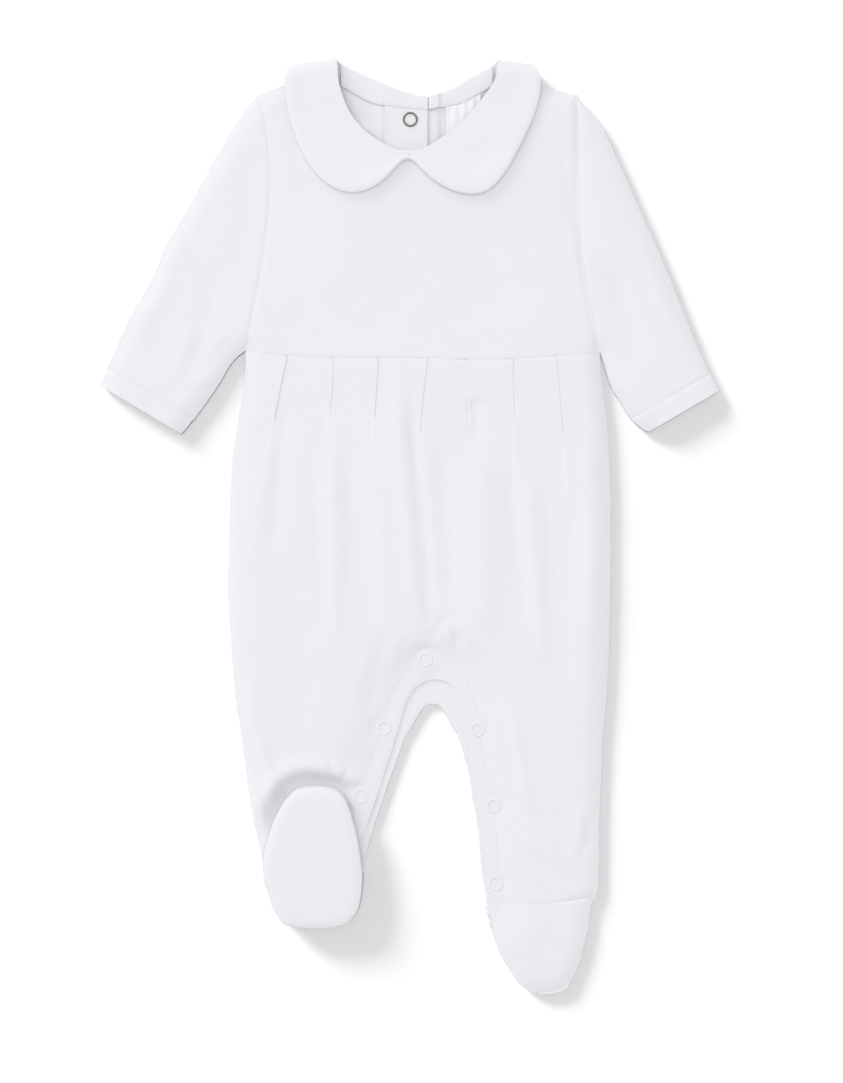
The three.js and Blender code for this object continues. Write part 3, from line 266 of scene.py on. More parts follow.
# Edges of the two collar halves, from the centre front over the shoulder to the centre back
collarLines = {
    "left": {
        "neck": table("x y", [
            [-0.16, 232.9], [-8, 233.6], [-14.1, 236.2], [-22.8, 241.4], [-29.6, 247.1], [-36.5, 255.8],
            [-41.2, 266.3], [-43.8, 276], [-44.6, 289.2],
        ]),
        "outer": table("x y", [
            [-0.16, 228.8], [-4.4, 227.6], [-8.4, 224.2], [-12.8, 219.2], [-17.7, 214.2], [-26.4, 209.4],
            [-35.7, 207.6], [-46, 210.3], [-54.6, 216.6], [-62.3, 226.6], [-68.5, 238.9], [-72.3, 251.5],
            [-75, 264.4], [-76.2, 276], [-74.2, 284.5],
        ]),
        "back": table("neckX neckY outX outY", [
            [-44.6, 289.2, -74.2, 284.5], [-38, 285.6, -72.6, 270], [-28, 280.6, -65, 255],
            [-17, 275.8, -49, 243.6], [-7, 271.8, -27, 237.4], [0.4, 269.4, -2, 236.6],
        ]),
    },
    "right": {
        "neck": table("x y", [
            [-0.1, 232.9], [7, 233.6], [15.1, 237.8], [23.7, 243.6], [32.4, 250.6], [41, 260.1],
            [47.9, 268.8], [53, 277.4], [54, 288.4],
        ]),
        "outer": table("x y", [
            [-0.1, 228.8], [3.2, 227.4], [6.4, 224.2], [10.6, 219.6], [16.9, 214.6], [25.5, 209.6],
            [35.6, 206.9], [44.3, 207.3], [51.3, 211.3], [58.4, 220], [65.2, 231.8], [71.4, 244.6],
            [76.5, 256.6], [79.6, 269.5], [80, 278.6], [76.4, 285],
        ]),
        "back": table("neckX neckY outX outY", [
            [54, 288.4, 76.4, 285], [46.4, 283.6, 77, 270], [36.4, 278, 69, 255], [25.4, 272.2, 53, 243.6],
            [14.4, 268.2, 30, 237.4], [4.4, 268, 5.6, 236.6],
        ]),
    },
}
collarEdges = [traceAlong(pathOf(pointsOf(collarLines[side]["outer"])), 70) for side in ("left", "right")]

# Edges where the front and back cloth meet and round away
footToe = trace(np.linspace(-241, -288.3, 30), footRightL)
footBack = trace(np.linspace(-288.3, -231, 34), footRightR)
footOutline = np.vstack([footToe, [[84.5, -289]], footBack])
shoulderLeftX, shoulderRightX = np.linspace(-94.7, -46.2, 18), np.linspace(55.2, 102.9, 18)
foldEdges = [
    traceAlong(sleeveLines["left"]["out"], 80),
    traceAlong(sleeveLines["left"]["inn"], 30),
    trace(np.linspace(109.4, -236, 120), sideLeft),
    traceAlong(sleeveLines["right"]["out"], 80),
    traceAlong(sleeveLines["right"]["inn"], 30),
    np.vstack([trace(np.linspace(107.8, -227, 120), sideRight), [[116, -227.2], [114.7, -229.2], [113, -231]]]),
    np.column_stack([shoulderLeftX, shoulderY(shoulderLeftX)]),
    np.column_stack([shoulderRightX, shoulderY(shoulderRightX)]),
    footOutline,
    np.array([[-83.5, -236], [-81.6, -240], [-77, -244.4], [-66, -246.2], [-50, -246.2],
              [-41, -243.8], [-36.4, -240], [-34, -236]]),
]
frontInEdge = [
    trace(np.linspace(-192, -94.2, 90), frontInLeft),
    trace(np.linspace(-94.2, -231, 110), frontInRight),
]
footTop, footEnd = leftFoot["y"][0], leftFoot["y"][-1]
leftFootLoop = np.vstack([
    trace(np.linspace(footTop, footEnd, 70), footLeftL),
    trace(np.linspace(footEnd, footTop, 70), footLeftR),
    [[footLeftL(footTop), footTop]],
])


def distance(x, y, lines):
    best = np.full(np.shape(x), 1e9)
    for line in lines:
        for (ax, ay), (bx, by) in zip(line[:-1], line[1:]):
            dx, dy = bx - ax, by - ay
            size = dx * dx + dy * dy
            if size < 1e-9:
                continue
            along = np.clip(((x - ax) * dx + (y - ay) * dy) / size, 0, 1)
            best = np.minimum(best, (x - ax - dx * along) ** 2 + (y - ay - dy * along) ** 2)
    return np.sqrt(best)


def inLeftFoot(x, y):
    return (y < footTop) & (y > footEnd) & (x > footLeftL(y)) & (x < footLeftR(y))


# Seven knife pleats, and the soft ridges and troughs of the cloth
pleats = table("topX midX endX endY lift dip crisp", [
    [-76.1, -86.2, -95.2, 8, 0.26, 0.16, 0.5], [-47.7, -50.4, -58, 30, 0.32, 0.32, 0.55],
    [-19.8, -22.4, -25.4, 26, 0.3, 0.26, 0.6], [10.8, 6.4, 5.9, 22, 0.3, 0.3, 0.7],
    [36.3, 37, 37.8, 56, 0.42, 0.7, 0.9], [63.5, 65, 70.1, -26, 0.38, 0.32, 0.36],
    [90.2, 95.4, 100.1, -24, 0.3, 0.38, 0.48],
])
pleatCount = len(pleats["topX"])
pleatsOf = {"left": (0, 1, 2), "right": (3, 4, 5, 6)}
pastAll = [1] * pleatCount
folds = table("x0 y0 x1 y1 x2 y2 width height", [
    [-8, 103, -3, 30, 7, -74, 6, 0.62], [-1, 100, 6, 24, 14, -78, 4.2, -0.62],
    [-12, 90, -11, 30, -6, -50, 7, 0.2], [-77, 84, -80, 34, -84, -20, 5, -0.42],
    [-87, 60, -92, 20, -95, -30, 6, 0.35], [-59, 50, -57, 8, -53, -78, 5, -0.42],
    [-48, 62, -47, 6, -46, -86, 5.5, 0.6], [-37, 66, -35, 30, -34, -52, 6, -0.4],
    [-27, 20, -26, -20, -22, -70, 6, -0.3], [-21, 44, -18, 0, -15, -62, 6, 0.3],
    [20, 60, 23, 10, 30, -58, 8, -0.55], [31, 40, 34, 0, 42, -70, 7, 0.3],
    [44, 66, 47, 0, 46, -84, 9, 0.5], [40, 82, 41, 68, 42, 52, 4.5, -0.75],
    [62, 40, 66, -4, 74, -66, 5, -0.4], [72, 46, 76, -6, 84, -96, 6, 0.5],
    [86, 30, 88, -10, 90, -60, 6, -0.3], [99, 20, 101, -14, 104, -62, 5, -0.4],
    [110, 70, 113, 20, 113, -80, 6, 0.4], [104, 0, 107, -60, 104, -150, 8, 0.3],
    [-100, 60, -104, 10, -104, -90, 5, -0.25], [-70, -10, -68, -70, -66, -140, 9, -0.3],
    [12, -72, 18, -62, 26, -50, 3, -0.42], [21, -74, 26, -66, 36, -56, 4, 0.15],
    [29, -56, 31, -84, 40, -124, 3.4, -0.8], [35, -58, 38, -84, 46, -120, 4, 0.45],
    [-14, -58, -20, -88, -27, -122, 5, -0.4], [-6, -60, -10, -84, -18, -118, 4, 0.3],
    [44, -130, 48, -143, 58, -160, 2.6, -0.55], [50, -130, 55, -146, 62, -164, 3.2, 0.35],
    [57, -114, 63, -150, 69, -186, 3.4, -0.6], [63, -116, 69, -150, 76, -188, 4, 0.35],
    [48, -174, 53, -196, 59, -224, 3.4, -0.7], [54, -176, 59, -198, 65, -224, 4, 0.4],
    [70, -196, 79, -206, 88, -215, 4, -0.45], [76, -190, 86, -200, 94, -210, 4, 0.3],
    [116, -176, 112, -190, 108, -204, 3.5, -0.6], [107, -170, 104, -190, 100, -212, 4, 0.3],
    [-98, -124, -94, -154, -84, -186, 3.2, -0.75], [-91, -124, -87, -150, -78, -172, 4, 0.45],
    [-99, -90, -96, -120, -92, -150, 5, 0.3],
    [94, 240, 99, 212, 102, 176, 4.5, -0.5], [98, 170, 104, 146, 112, 116, 5, -0.3],
    [-84, 256, -78, 232, -74, 200, 6, 0.2], [-98, 238, -100, 200, -108, 150, 6, -0.25],
    [-118, 168, -126, 130, -138, 88, 7, -0.4], [-108, 120, -118, 108, -128, 92, 5, -0.35],
    [-146, 196, -156, 160, -168, 120, 8, 0.35], [-130, 130, -140, 104, -150, 84, 6, 0.3],
    [124, 170, 134, 132, 142, 92, 7, -0.4], [112, 232, 118, 200, 126, 160, 6, 0.3],
    [146, 190, 154, 158, 164, 122, 8, 0.3], [122, 120, 130, 104, 138, 86, 5, -0.35],
    [-137, 78, -136, 72, -133, 62, 2.6, -0.4], [128, 84, 134, 76, 142, 66, 3, -0.35],
    [-60, 250, -40, 190, -52, 130, 14, 0.18], [40, 190, 52, 160, 48, 124, 12, -0.2],
])
frontSnaps = table("x y", [
    [9.8, -81.8], [-15.8, -124.2], [-30.2, -166.6], [-41.5, -210], [42.3, -125], [51.7, -172.6],
    [53.4, -220.5],
])


def pleatX(i, y):
    topX, midX, endX, endY = (pleats[key][i] for key in ("topX", "midX", "endX", "endY"))
    top = waistY(topX)
    return throughThree(np.clip((top - y) / (top - endY), 0, 1), topX, midX, endX)


def downPleat(i, y):
    top = waistY(pleats["topX"][i])
    return (top - y) / (top - pleats["endY"][i])


# The cloth on the right of a pleat's line is raised, on its left it tucks in. Past is 0 to 1 across the line
def pleatHeight(x, y, past):
    total = np.zeros(np.shape(x))
    for i in range(pleatCount):
        fade = soft((1.4 - downPleat(i, y)) / 0.95)
        off = x - pleatX(i, y)
        lift = pleats["lift"][i] * np.exp(-np.maximum(off, 0) / 9)
        dip = -pleats["dip"][i] * np.exp(np.minimum(off, 0) / 4)
        total += fade * mix(dip, lift, past[i])
    return total


def foldHeight(x, y):
    total = np.zeros(np.shape(x))
    for x0, y0, x1, y1, x2, y2, width, height in zip(*folds.values()):
        t = (y0 - y) / (y0 - y2)
        bend = (y0 - y1) / (y0 - y2)
        part = np.clip(np.where(t < bend, t / bend / 2, 0.5 + (t - bend) / (1 - bend) / 2), 0, 1)
        strength = height * (1.1 + 0.22 * width) * gauss((x - throughThree(part, x0, x1, x2)) / width)
        total += strength * soft(np.minimum(t, 1 - t) * 4)
    return total


# Slow unevenness of cloth that was laid out by hand
def handLaid(x, y):
    wave = np.sin(x / 23 + 1.7 * np.sin(y / 61 + 0.4)) * np.sin(y / 37 + 1.2 * np.sin(x / 44))
    small = np.sin(x / 9.3 + 2.1 * np.sin(y / 31)) * np.sin(y / 13.7 + 1.9 * np.sin(x / 27 + 2))
    return 0.3 * wave + 0.1 * small


def crown(x, y):
    body = crownY(y) - suit["sideFall"] * np.clip(np.abs(x - 6) / 118, 0, 1) ** 2
    past = np.maximum(armLeft(y) - x, x - armRight(y))
    sleeve = np.where((y > 50) & (past > 0), soft(past / 45), 0)
    return mix(body, suit["sleeveCrown"], sleeve)


# Height of the outer face of the front cloth
def frontTop(x, y, past=None, withSnaps=True):
    x, y = np.broadcast_arrays(np.asarray(x, dtype=float), np.asarray(y, dtype=float))
    away = distance(x, y, foldEdges)
    settled = soft(away / suit["topRound"])
    z = suit["frontSeam"] + (crown(x, y) - suit["frontSeam"]) * bank(away / suit["topRound"])
    z = z + (foldHeight(x, y) + handLaid(x, y)) * settled
    onWaist = (x > armLeft(112)) & (x < armRight(112))
    ankle = (0.2 + 0.9 * soft((x - 92) / 10)) * (x > 46)
    for deep, seamY in ((0.3 * onWaist, waistY), (ankle, rightHemY)):
        z = z - deep * gauss((y - seamY(x)) / 1.1) * settled
    if past is None:
        return z
    z = z + pleatHeight(x, y, past) * settled
    z = np.where(y < 0, placketDown(x, y, z), z)
    out = np.where(inLeftFoot(x, y), 0, distance(x, y, [leftFootLoop]))
    z = np.where((x < -10) & (y < -140), underFoot(x, y, z, out), z)
    for sx, sy in zip(*frontSnaps.values()):
        off = np.hypot(x - sx, y - sy)
        z = mix(float(snapSeat(sx, sy)), z, soft((off - suit["snapRim"]) / 6)) if withSnaps else z
    return z


# Towards the snaps the front lies lower, on the band of the back
def placketDown(x, y, z):
    edge = distance(x, y, frontInEdge)
    low = suit["inseamEdge"] + 0.25 * soft(edge / 3) - 0.2 * gauss((edge - suit["plackWidth"]) / 0.9)
    return mix(low, z, soft((edge - 5) / suit["inseamRise"]))


# The leg is pressed down under the left foot, with a deep hollow round its toe
toeHollow = {"x": -58, "y": -204, "low": 3.3, "sideReach": 9, "toeReach": 10.5, "heap": 1.5}
toeTucks = table("x y lean deep wide out", [[-49, -150, -0.25, 1.5, 1.5, 10], [-40, -153, 0.6, 1.4, 1.4, 9]])


def underFoot(x, y, z, out):
    around = np.arctan2(x - toeHollow["x"], y - toeHollow["y"])
    toe = soft((1.15 - np.abs(around + 0.1)) / 0.5)
    hollow = mix(suit["pressedLeg"], toeHollow["low"], toe)
    reach = mix(toeHollow["sideReach"], toeHollow["toeReach"], toe) - 2.8 * gauss((around - 0.28) / 0.22)
    heap = toeHollow["heap"] * toe * gauss((out - reach - 2.5) / 4.5)
    low = mix(np.minimum(z, hollow), z + heap, soft((out - 0.6 * toe) / reach))
    for tuckX, tuckY, lean, deep, wide, far in zip(*toeTucks.values()):
        low = low - deep * gauss((x - tuckX - lean * (y - tuckY)) / wide) * gauss((out - far) / 5) * toe
    return np.maximum(low, toeHollow["low"])


def snapSeat(x, y):
    return frontTop(x, y, pastAll, withSnaps=False)


def collarLobeY(x):
    return 236 + 14 * np.clip((np.abs(x - 1.5) - 18) / 60, 0, 1) ** 2


# Height of the outer face of the back cloth, which rests on the surface
def backBottom(x, y, lap=0.0):
    x, y = np.broadcast_arrays(np.asarray(x, dtype=float), np.asarray(y, dtype=float))
    away = distance(x, y, foldEdges)
    overCollar = soft((y - collarLobeY(x) + 19) / 11) * soft((88 - np.abs(x - 1.5)) / 9)
    ripple = 2.0 * gauss((y - 247 + 0.25 * (x + 28)) / 3.4) * gauss((x + 30) / 8)
    lift = (suit["collarRaise"] + 0.1) * overCollar + lap + ripple
    return lift + np.maximum(0, suit["backSeam"] - lift) * (1 - rise(away / suit["floorRound"]))


def lapLift(x):
    return suit["lapRaise"] * soft((x - suit["lapLeft"] + 9.5) / 8.5)


def leftBackTop(x, y):
    return backBottom(x, y, lapLift(x)) + suit["backWall"]


# The turned facing of the right back shows as a strip beside the lap
facingSize = {"raise": 1.2, "left": 11.9, "right": 19.2, "bottom": 150}


def facing(x, y):
    across = soft((x - facingSize["left"]) / 0.3) * soft((facingSize["right"] - x) / 1.2)
    return facingSize["raise"] * across * soft((y - facingSize["bottom"]) / 20)


def rightBackTop(x, y):
    return backBottom(x, y) + suit["backWall"] + facing(x, y)


# Where a row and a column line cross, when each follows the other
def settle(xAt, yAt, y):
    x = xAt(y)
    for _ in range(5):
        y = yAt(x)
        x = xAt(y)
    return x, y


# Lays a grid of cloth: place turns the column and row positions into millimetres
def layGrid(bm, columns, rows, place, grain=0.0, flip=False):
    made = bmesh.ops.create_grid(
        bm, x_segments=len(columns) - 1, y_segments=len(rows) - 1, size=0.5
    )["verts"]
    spots = np.array([v.co[:2] for v in made])
    u = np.asarray(columns)[np.rint((spots[:, 0] + 0.5) * (len(columns) - 1)).astype(int)]
    v = np.asarray(rows)[np.rint((spots[:, 1] + 0.5) * (len(rows) - 1)).astype(int)]
    x, y, z = (np.broadcast_to(part, u.shape) for part in place(u, v))
    for vert, px, py, pz in zip(made, x, y, z):
        vert.co = (px * mm, py * mm, pz * mm)
    faces = {face for vert in made for face in vert.link_faces}
    uvLayer = bm.loops.layers.uv.get("grain") or bm.loops.layers.uv.new("grain")
    turn = Matrix.Rotation(math.radians(grain), 2)
    for face in faces:
        for loop in face.loops:
            loop[uvLayer].uv = turn @ loop.vert.co.xy
    if flip:
        bmesh.ops.reverse_faces(bm, faces=list(faces))


# Turns a bmesh into a piece of the suit
def finishPiece(name, bm, material, wall=None, soften=None):
    bmesh.ops.remove_doubles(bm, verts=bm.verts, dist=1e-5)
    mesh = bpy.data.meshes.new(name)
    bm.to_mesh(mesh)
    bm.free()
    piece = bpy.data.objects.new(name, mesh)
    bpy.context.scene.collection.objects.link(piece)
    mesh.materials.append(material)
    mesh.polygons.foreach_set("use_smooth", [True] * len(mesh.polygons))
    if wall:
        thick = piece.modifiers.new("cloth", "SOLIDIFY")
        thick.thickness = wall * mm
        thick.offset = -1
        thick.use_rim = True
    if soften:
        edge = piece.modifiers.new("softEdge", "BEVEL")
        edge.width = soften * mm
        edge.segments = 3
        edge.limit_method = "ANGLE"
        edge.angle_limit = math.radians(62)
    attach(piece, "root")
    return piece


# Steps from 0 to 1, closer together near both ends
def steps(count, dense=0.0):
    t = np.linspace(0, 1, count + 1)
    return t - dense * np.sin(2 * np.pi * t) / (2 * np.pi)


# Steps from 0 to 1, closest at 0, as a rounded edge needs them
def roundSteps(count):
    return 1 - np.cos(np.linspace(0, math.pi / 2, count + 1))


# Steps from 0 to 1, closest at 1
def lateSteps(count, power):
    return 1 - steps(count)[::-1] ** power


# Columns of a panel of a given width whose named ends round away
def panelSteps(count, width, first=0.0, last=0.0):
    start = roundSteps(9) * first / width if first else np.array([0])
    end = 1 - roundSteps(9)[::-1] * last / width if last else np.array([1])
    middle = np.linspace(start[-1], end[0], count + 1)
    return np.concatenate([start[:-1], middle, end[1:]])


# Columns of half a panel, which rounds away at its side edge
def halfSteps(half, count, width, edge):
    return panelSteps(count, width, **{"first" if half == "left" else "last": edge})


# Columns run from left to right: side edge to centre on the left half, centre to side edge on the right
def acrossHalf(half, side, inner, s):
    return mix(side, inner, s) if half == "left" else mix(inner, side, s)


# Shader groups that the cloths share
def newGroup(name, inputs, outputs):
    group = bpy.data.node_groups.new(name, "ShaderNodeTree")
    for side, sockets in (("INPUT", inputs), ("OUTPUT", outputs)):
        for label, kind in sockets.items():
            group.interface.new_socket(name=label, in_out=side, socket_type=kind)
    return group, group.nodes.new("NodeGroupInput"), group.nodes.new("NodeGroupOutput")


def addMath(tree, operation, first, second=None):
    node = tree.nodes.new("ShaderNodeMath")
    node.operation = operation
    for socket, value in zip(node.inputs, (first, second)):
        if value is None:
            continue
        if isinstance(value, (int, float)):
            socket.default_value = value
        else:
            tree.links.new(value, socket)
    return node.outputs[0]


def setInputs(node, values):
    for name, value in values.items():
        node.inputs[name].default_value = value


knitSize = {
    "wave": mm / 6.2832, "course": 0.72, "lean": 2.2, "loop": 0.3, "patchShare": 0.65, "fluffShare": 0.35,
}


def makeKnitGroup():
    group, source, sink = newGroup(
        "fineKnit",
        {"Grain": "NodeSocketVector", "Wale": "NodeSocketFloat", "Fuzz": "NodeSocketFloat"},
        {"Height": "NodeSocketFloat", "Tint": "NodeSocketFloat"},
    )

    def cell(operation, first, second=None):
        return addMath(group, operation, first, second)

    def noise(scale, detail):
        node = group.nodes.new("ShaderNodeTexNoise")
        setInputs(node, {"Scale": scale, "Detail": detail})
        group.links.new(source.outputs["Grain"], node.inputs["Vector"])
        return node.outputs[0]

    split = group.nodes.new("ShaderNodeSeparateXYZ")
    group.links.new(source.outputs["Grain"], split.inputs[0])
    across, down = (
        cell("DIVIDE", split.outputs[i], cell("MULTIPLY", source.outputs["Wale"], size * knitSize["wave"]))
        for i, size in enumerate((1, knitSize["course"]))
    )
    wale = cell("ABSOLUTE", cell("SINE", across))
    loop = cell("SINE", cell("ADD", down, cell("MULTIPLY", wale, knitSize["lean"])))
    stitch = cell("MULTIPLY", wale, cell("MULTIPLY_ADD", loop, knitSize["loop"]))
    fluff, patch = noise(2600, 3), noise(55, 4)
    hairs = cell("MULTIPLY", fluff, source.outputs["Fuzz"])
    shade = cell("MULTIPLY", fluff, knitSize["fluffShare"])
    tint = cell("ADD", cell("MULTIPLY", patch, knitSize["patchShare"]), shade)
    group.links.new(cell("ADD", cell("ADD", wale, stitch), hairs), sink.inputs["Height"])
    group.links.new(tint, sink.inputs["Tint"])
    return group


knitGroup = makeKnitGroup()


def newMaterial(name, values):
    material = bpy.data.materials.new(name)
    material.use_nodes = True
    shader = material.node_tree.nodes["Principled BSDF"]
    setInputs(shader, values)
    return material, material.node_tree, shader


def makeKnit(name, look):
    material, tree, shader = newMaterial(name, {
        "Roughness": look["roughness"], "Sheen Weight": look["sheen"], "Sheen Roughness": 0.45,
        "Specular IOR Level": 0.25,
    })
    place = tree.nodes.new("ShaderNodeUVMap")
    place.uv_map = "grain"
    knit = tree.nodes.new("ShaderNodeGroup")
    knit.node_tree = knitGroup
    setInputs(knit, {"Wale": look["wale"], "Fuzz": look["fuzz"]})
    tree.links.new(place.outputs["UV"], knit.inputs["Grain"])
    ramp = tree.nodes.new("ShaderNodeMix")
    ramp.data_type = "RGBA"
    setInputs(ramp, {"A": (*look["low"], 1), "B": (*look["high"], 1)})
    tree.links.new(knit.outputs["Tint"], ramp.inputs["Factor"])
    tree.links.new(ramp.outputs["Result"], shader.inputs["Base Color"])
    bump = tree.nodes.new("ShaderNodeBump")
    setInputs(bump, {"Strength": look["bump"], "Distance": look["depth"] * mm})
    tree.links.new(knit.outputs["Height"], bump.inputs["Height"])
    tree.links.new(bump.outputs["Normal"], shader.inputs["Normal"])
    return material


cottonKnit = makeKnit("cottonInterlock", {
    "low": (0.79, 0.797, 0.835), "high": (0.815, 0.823, 0.862), "roughness": 0.9, "sheen": 0.25,
    "wale": 0.95, "fuzz": 0.5, "bump": 0.35, "depth": 0.12,
})


def makePlain(name, colour, roughness, metallic, sheen=0.0, anisotropic=0.0):
    return newMaterial(name, {
        "Base Color": (*colour, 1), "Roughness": roughness, "Metallic": metallic, "Sheen Weight": sheen,
        "Anisotropic": anisotropic,
    })[0]


satin = makePlain("plainSatin", (0.8, 0.8, 0.84), 0.27, 0, sheen=0.3, anisotropic=0.6)
whiteEnamel = makePlain("whiteEnamel", (0.79, 0.795, 0.83), 0.35, 0)
nickel = makePlain("nickel", (0.2, 0.165, 0.14), 0.3, 1)
# Stitch thread darker than the cloth: painted shade standing in for the groove and stitch holes along each sewn
# row
shadedThread = makePlain("cottonThreadPaintedShade", (0.66, 0.665, 0.71), 0.8, 0, sheen=0.2)
print("materials ready")


# Front of the lower suit: one panel with both legs, its columns along the pleats
frontLowerSize = {
    "leftCounts": [9, 10, 6, 17, 6, 16, 6, 13],
    "rightCounts": [11, 6, 15, 6, 16, 6, 16, 6, 10, 9],
    "upperRows": 118,
    "legRows": 78,
    "rim": 10,  # cloth that rounds away at the side
    "hem": 12.5,
    "overhang": 0.35,
    "apart": 0.4,
}


# A pleat is a crisp fold at the top and opens into a slope further down
def foldedOver(i, y):
    open_ = 0.25 + 7 * soft((downPleat(i, y) - 0.7 * pleats["crisp"][i]) / 0.75)
    return [pleatX(i, y) - open_, pleatX(i, y) + open_]


# How far past a pleat's fold the columns are, from 0 to 1
def pastFold(half, s, i):
    start = 2 + 2 * i if half == "left" else 1 + 2 * (i - len(pleatsOf["left"]))
    return np.clip(s - start, 0, 1)


# The rounded fold stands out over the cloth beside it
def noseOf(half, s, y):
    nose = np.zeros(len(s))
    for i in pleatsOf[half]:
        part = pastFold(half, s, i)
        crisp = soft((pleats["crisp"][i] + 0.1 - downPleat(i, y)) / 0.25)
        nose += frontLowerSize["overhang"] * np.sin(np.pi * part) * crisp
    return nose


# Open folds give way to their neighbours, so that no two lines cross
def keepApart(lines):
    last, apart = len(lines) - 1, frontLowerSize["apart"]
    for i in range(1, last):
        lines[i] = np.clip(lines[i], lines[i - 1] + apart, lines[last] - apart * (last - i))
    return lines


def lowerLines(half, y):
    lines = [line for i in pleatsOf[half] for line in foldedOver(i, y)]
    if half == "left":
        return keepApart([sideLeft(y), sideLeft(y) + frontLowerSize["rim"], *lines, centreX(y)])
    return keepApart([centreX(y), *lines, sideRight(y) - frontLowerSize["rim"], sideRight(y)])


def evenLines(half, y, inner):
    counts = np.array(frontLowerSize[half + "Counts"][1:-1], dtype=float)
    rim, hem = frontLowerSize["rim"], frontLowerSize["hem"]
    if half == "left":
        first, start, end, last = sideLeft(y), sideLeft(y) + rim, inner - hem, inner
    else:
        first, start, end, last = inner, inner + hem, sideRight(y) - rim, sideRight(y)
    return [first, start] + [mix(start, end, part) for part in np.cumsum(counts) / counts.sum()] + [last]


def lowerColumns(half):
    counts = frontLowerSize[half + "Counts"]
    parts = [steps(count, 0.5) for count in counts]
    if half == "left":
        parts[0] = roundSteps(counts[0])
    else:
        parts[-1] = 1 - roundSteps(counts[-1])[::-1]
    return np.concatenate([i + part[:-1] for i, part in enumerate(parts)] + [[len(counts)]])


def lowerX(half, s, lines):
    stack = np.array(lines)
    i = np.clip(np.floor(s).astype(int), 0, len(lines) - 2)
    pick = np.arange(len(s))
    return mix(stack[i, pick], stack[i + 1, pick], s - i)


def pleatPast(half, s):
    other = np.full(len(s), float(half == "right"))
    past = [pastFold(half, s, i) if i in pleatsOf[half] else other for i in range(pleatCount)]
    return [(1 - np.cos(np.pi * part)) / 2 for part in past]


def placeUpper(half):
    def place(s, v):
        share = 1 - v

        def xAt(y):
            free = lowerX(half, s, lowerLines(half, y)) - noseOf(half, s, y)
            even = lowerX(half, s, evenLines(half, y, centreX(y)))
            return mix(free, even, soft((-18 - y) / 74))

        def yAt(x):
            return mix(waistY(x) - suit["joinGap"] / 2, suit["frontCrotch"], share)

        x, y = settle(xAt, yAt, mix(suit["waist"], suit["frontCrotch"], share))
        return x, y, frontTop(x, y, pleatPast(half, s))

    return place


def placeLeg(half):
    def place(s, v):
        share = 1 - v
        inX = frontInLeft if half == "left" else frontInRight

        def xAt(y):
            return lowerX(half, s, evenLines(half, y, inX(y)))

        def yAt(x):
            hem = suit["leftHem"] if half == "left" else rightHemY(x) + suit["joinGap"] / 2
            return mix(suit["frontCrotch"], hem, share)

        x, y = settle(xAt, yAt, mix(suit["frontCrotch"], -229, share))
        return x, y, frontTop(x, y, pleatPast(half, s))

    return place


bm = bmesh.new()
for half in ("left", "right"):
    columns = lowerColumns(half)
    layGrid(bm, columns, steps(frontLowerSize["upperRows"]), placeUpper(half))
    layGrid(bm, columns, lateSteps(frontLowerSize["legRows"], 1.45), placeLeg(half))
frontLower = finishPiece("frontLower", bm, cottonKnit, suit["frontWall"], soften=0.15)
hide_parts("front_lower")
print("front of the lower suit laid")

# Back of the lower suit, flat on the surface
backLowerSize = {"columns": 34, "upperRows": 60, "legRows": 54, "leftEnd": -246, "rightEnd": -231.3}
heelSide = curveOf(table("y x", [[-236, -83.5], [-240, -81.6], [-244.4, -77], [-246.2, -66]]), "y", "x")
heelInner = curveOf(table("y x", [[-236, -34], [-240, -36.4], [-243.8, -41], [-246.2, -50]]), "y", "x")
backCentre = curveOf(table("y x", [[106, 6], [-109, 15.5]]), "y", "x")


def backSide(half, y):
    if half == "right":
        return sideRight(y)
    return np.where(y < -236, heelSide(y), sideLeft(y))


def backInner(half, y):
    if half == "right":
        return backInRight(y)
    return mix(backInLeft(y), np.minimum(backInLeft(y), heelInner(y)), soft((-226 - y) / 10))


def placeBack(half, leg):
    def place(s, v):
        share = 1 - v
        crotch = suit["backCrotch"]

        def xAt(y):
            return acrossHalf(half, backSide(half, y), backInner(half, y) if leg else backCentre(y), s)

        def yAt(x):
            return mix(backWaistY(x) - suit["joinGap"] / 2, crotch, share)

        if leg:
            y = mix(crotch, backLowerSize[half + "End"], share)
            x = xAt(y)
        else:
            x, y = settle(xAt, yAt, mix(suit["waist"], crotch, share))
        return x, y, backBottom(x, y) + backCrease(x, y)

    return place


# Slight creases of the cloth under the weight of the front, always off the surface
def backCrease(x, y):
    away = distance(x, y, foldEdges)
    ridge = np.maximum(0, np.sin(x / 17 + 1.9 * np.sin(y / 47)) - 0.55) * np.maximum(0, np.sin(y / 61 + 0.8))
    return 0.35 * ridge * soft((away - 12) / 14)


bm = bmesh.new()
for half in ("left", "right"):
    columns = halfSteps(half, backLowerSize["columns"], 110, 8)
    layGrid(bm, columns, steps(backLowerSize["upperRows"]), placeBack(half, False), flip=True)
    layGrid(bm, columns, lateSteps(backLowerSize["legRows"], 1.3), placeBack(half, True), flip=True)
backLower = finishPiece("backLower", bm, cottonKnit, suit["backWall"], soften=0.15)
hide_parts("back_lower")

# Band on the inner face of the back panel, round the crotch from ankle to ankle
bandWidth = curveOf(table("y wide", [[-109, 24], [-150, 20], [-232, 17]]), "y", "wide")
bandPath = np.vstack([
    [[backInLeft(y) - 0.4, y] for y in np.linspace(-223, -113, 60)],
    [[9.6, -110.9], [15.2, -109.6], [19, -111.2]],
    [[backInRight(y) + 0.4, y] for y in np.linspace(-114.5, -229, 60)],
])
bandLine = pathOf(bandPath)


def placeBand(s, v):
    x, y = bandLine(v)
    ahead, behind = bandLine(v + 0.004), bandLine(v - 0.004)
    nx, ny = behind[1] - ahead[1], ahead[0] - behind[0]
    reach = s * bandWidth(y) / np.hypot(nx, ny)
    return x + nx * reach, y + ny * reach, suit["backWall"] + suit["seamGap"] + suit["bandWall"] + 0 * x


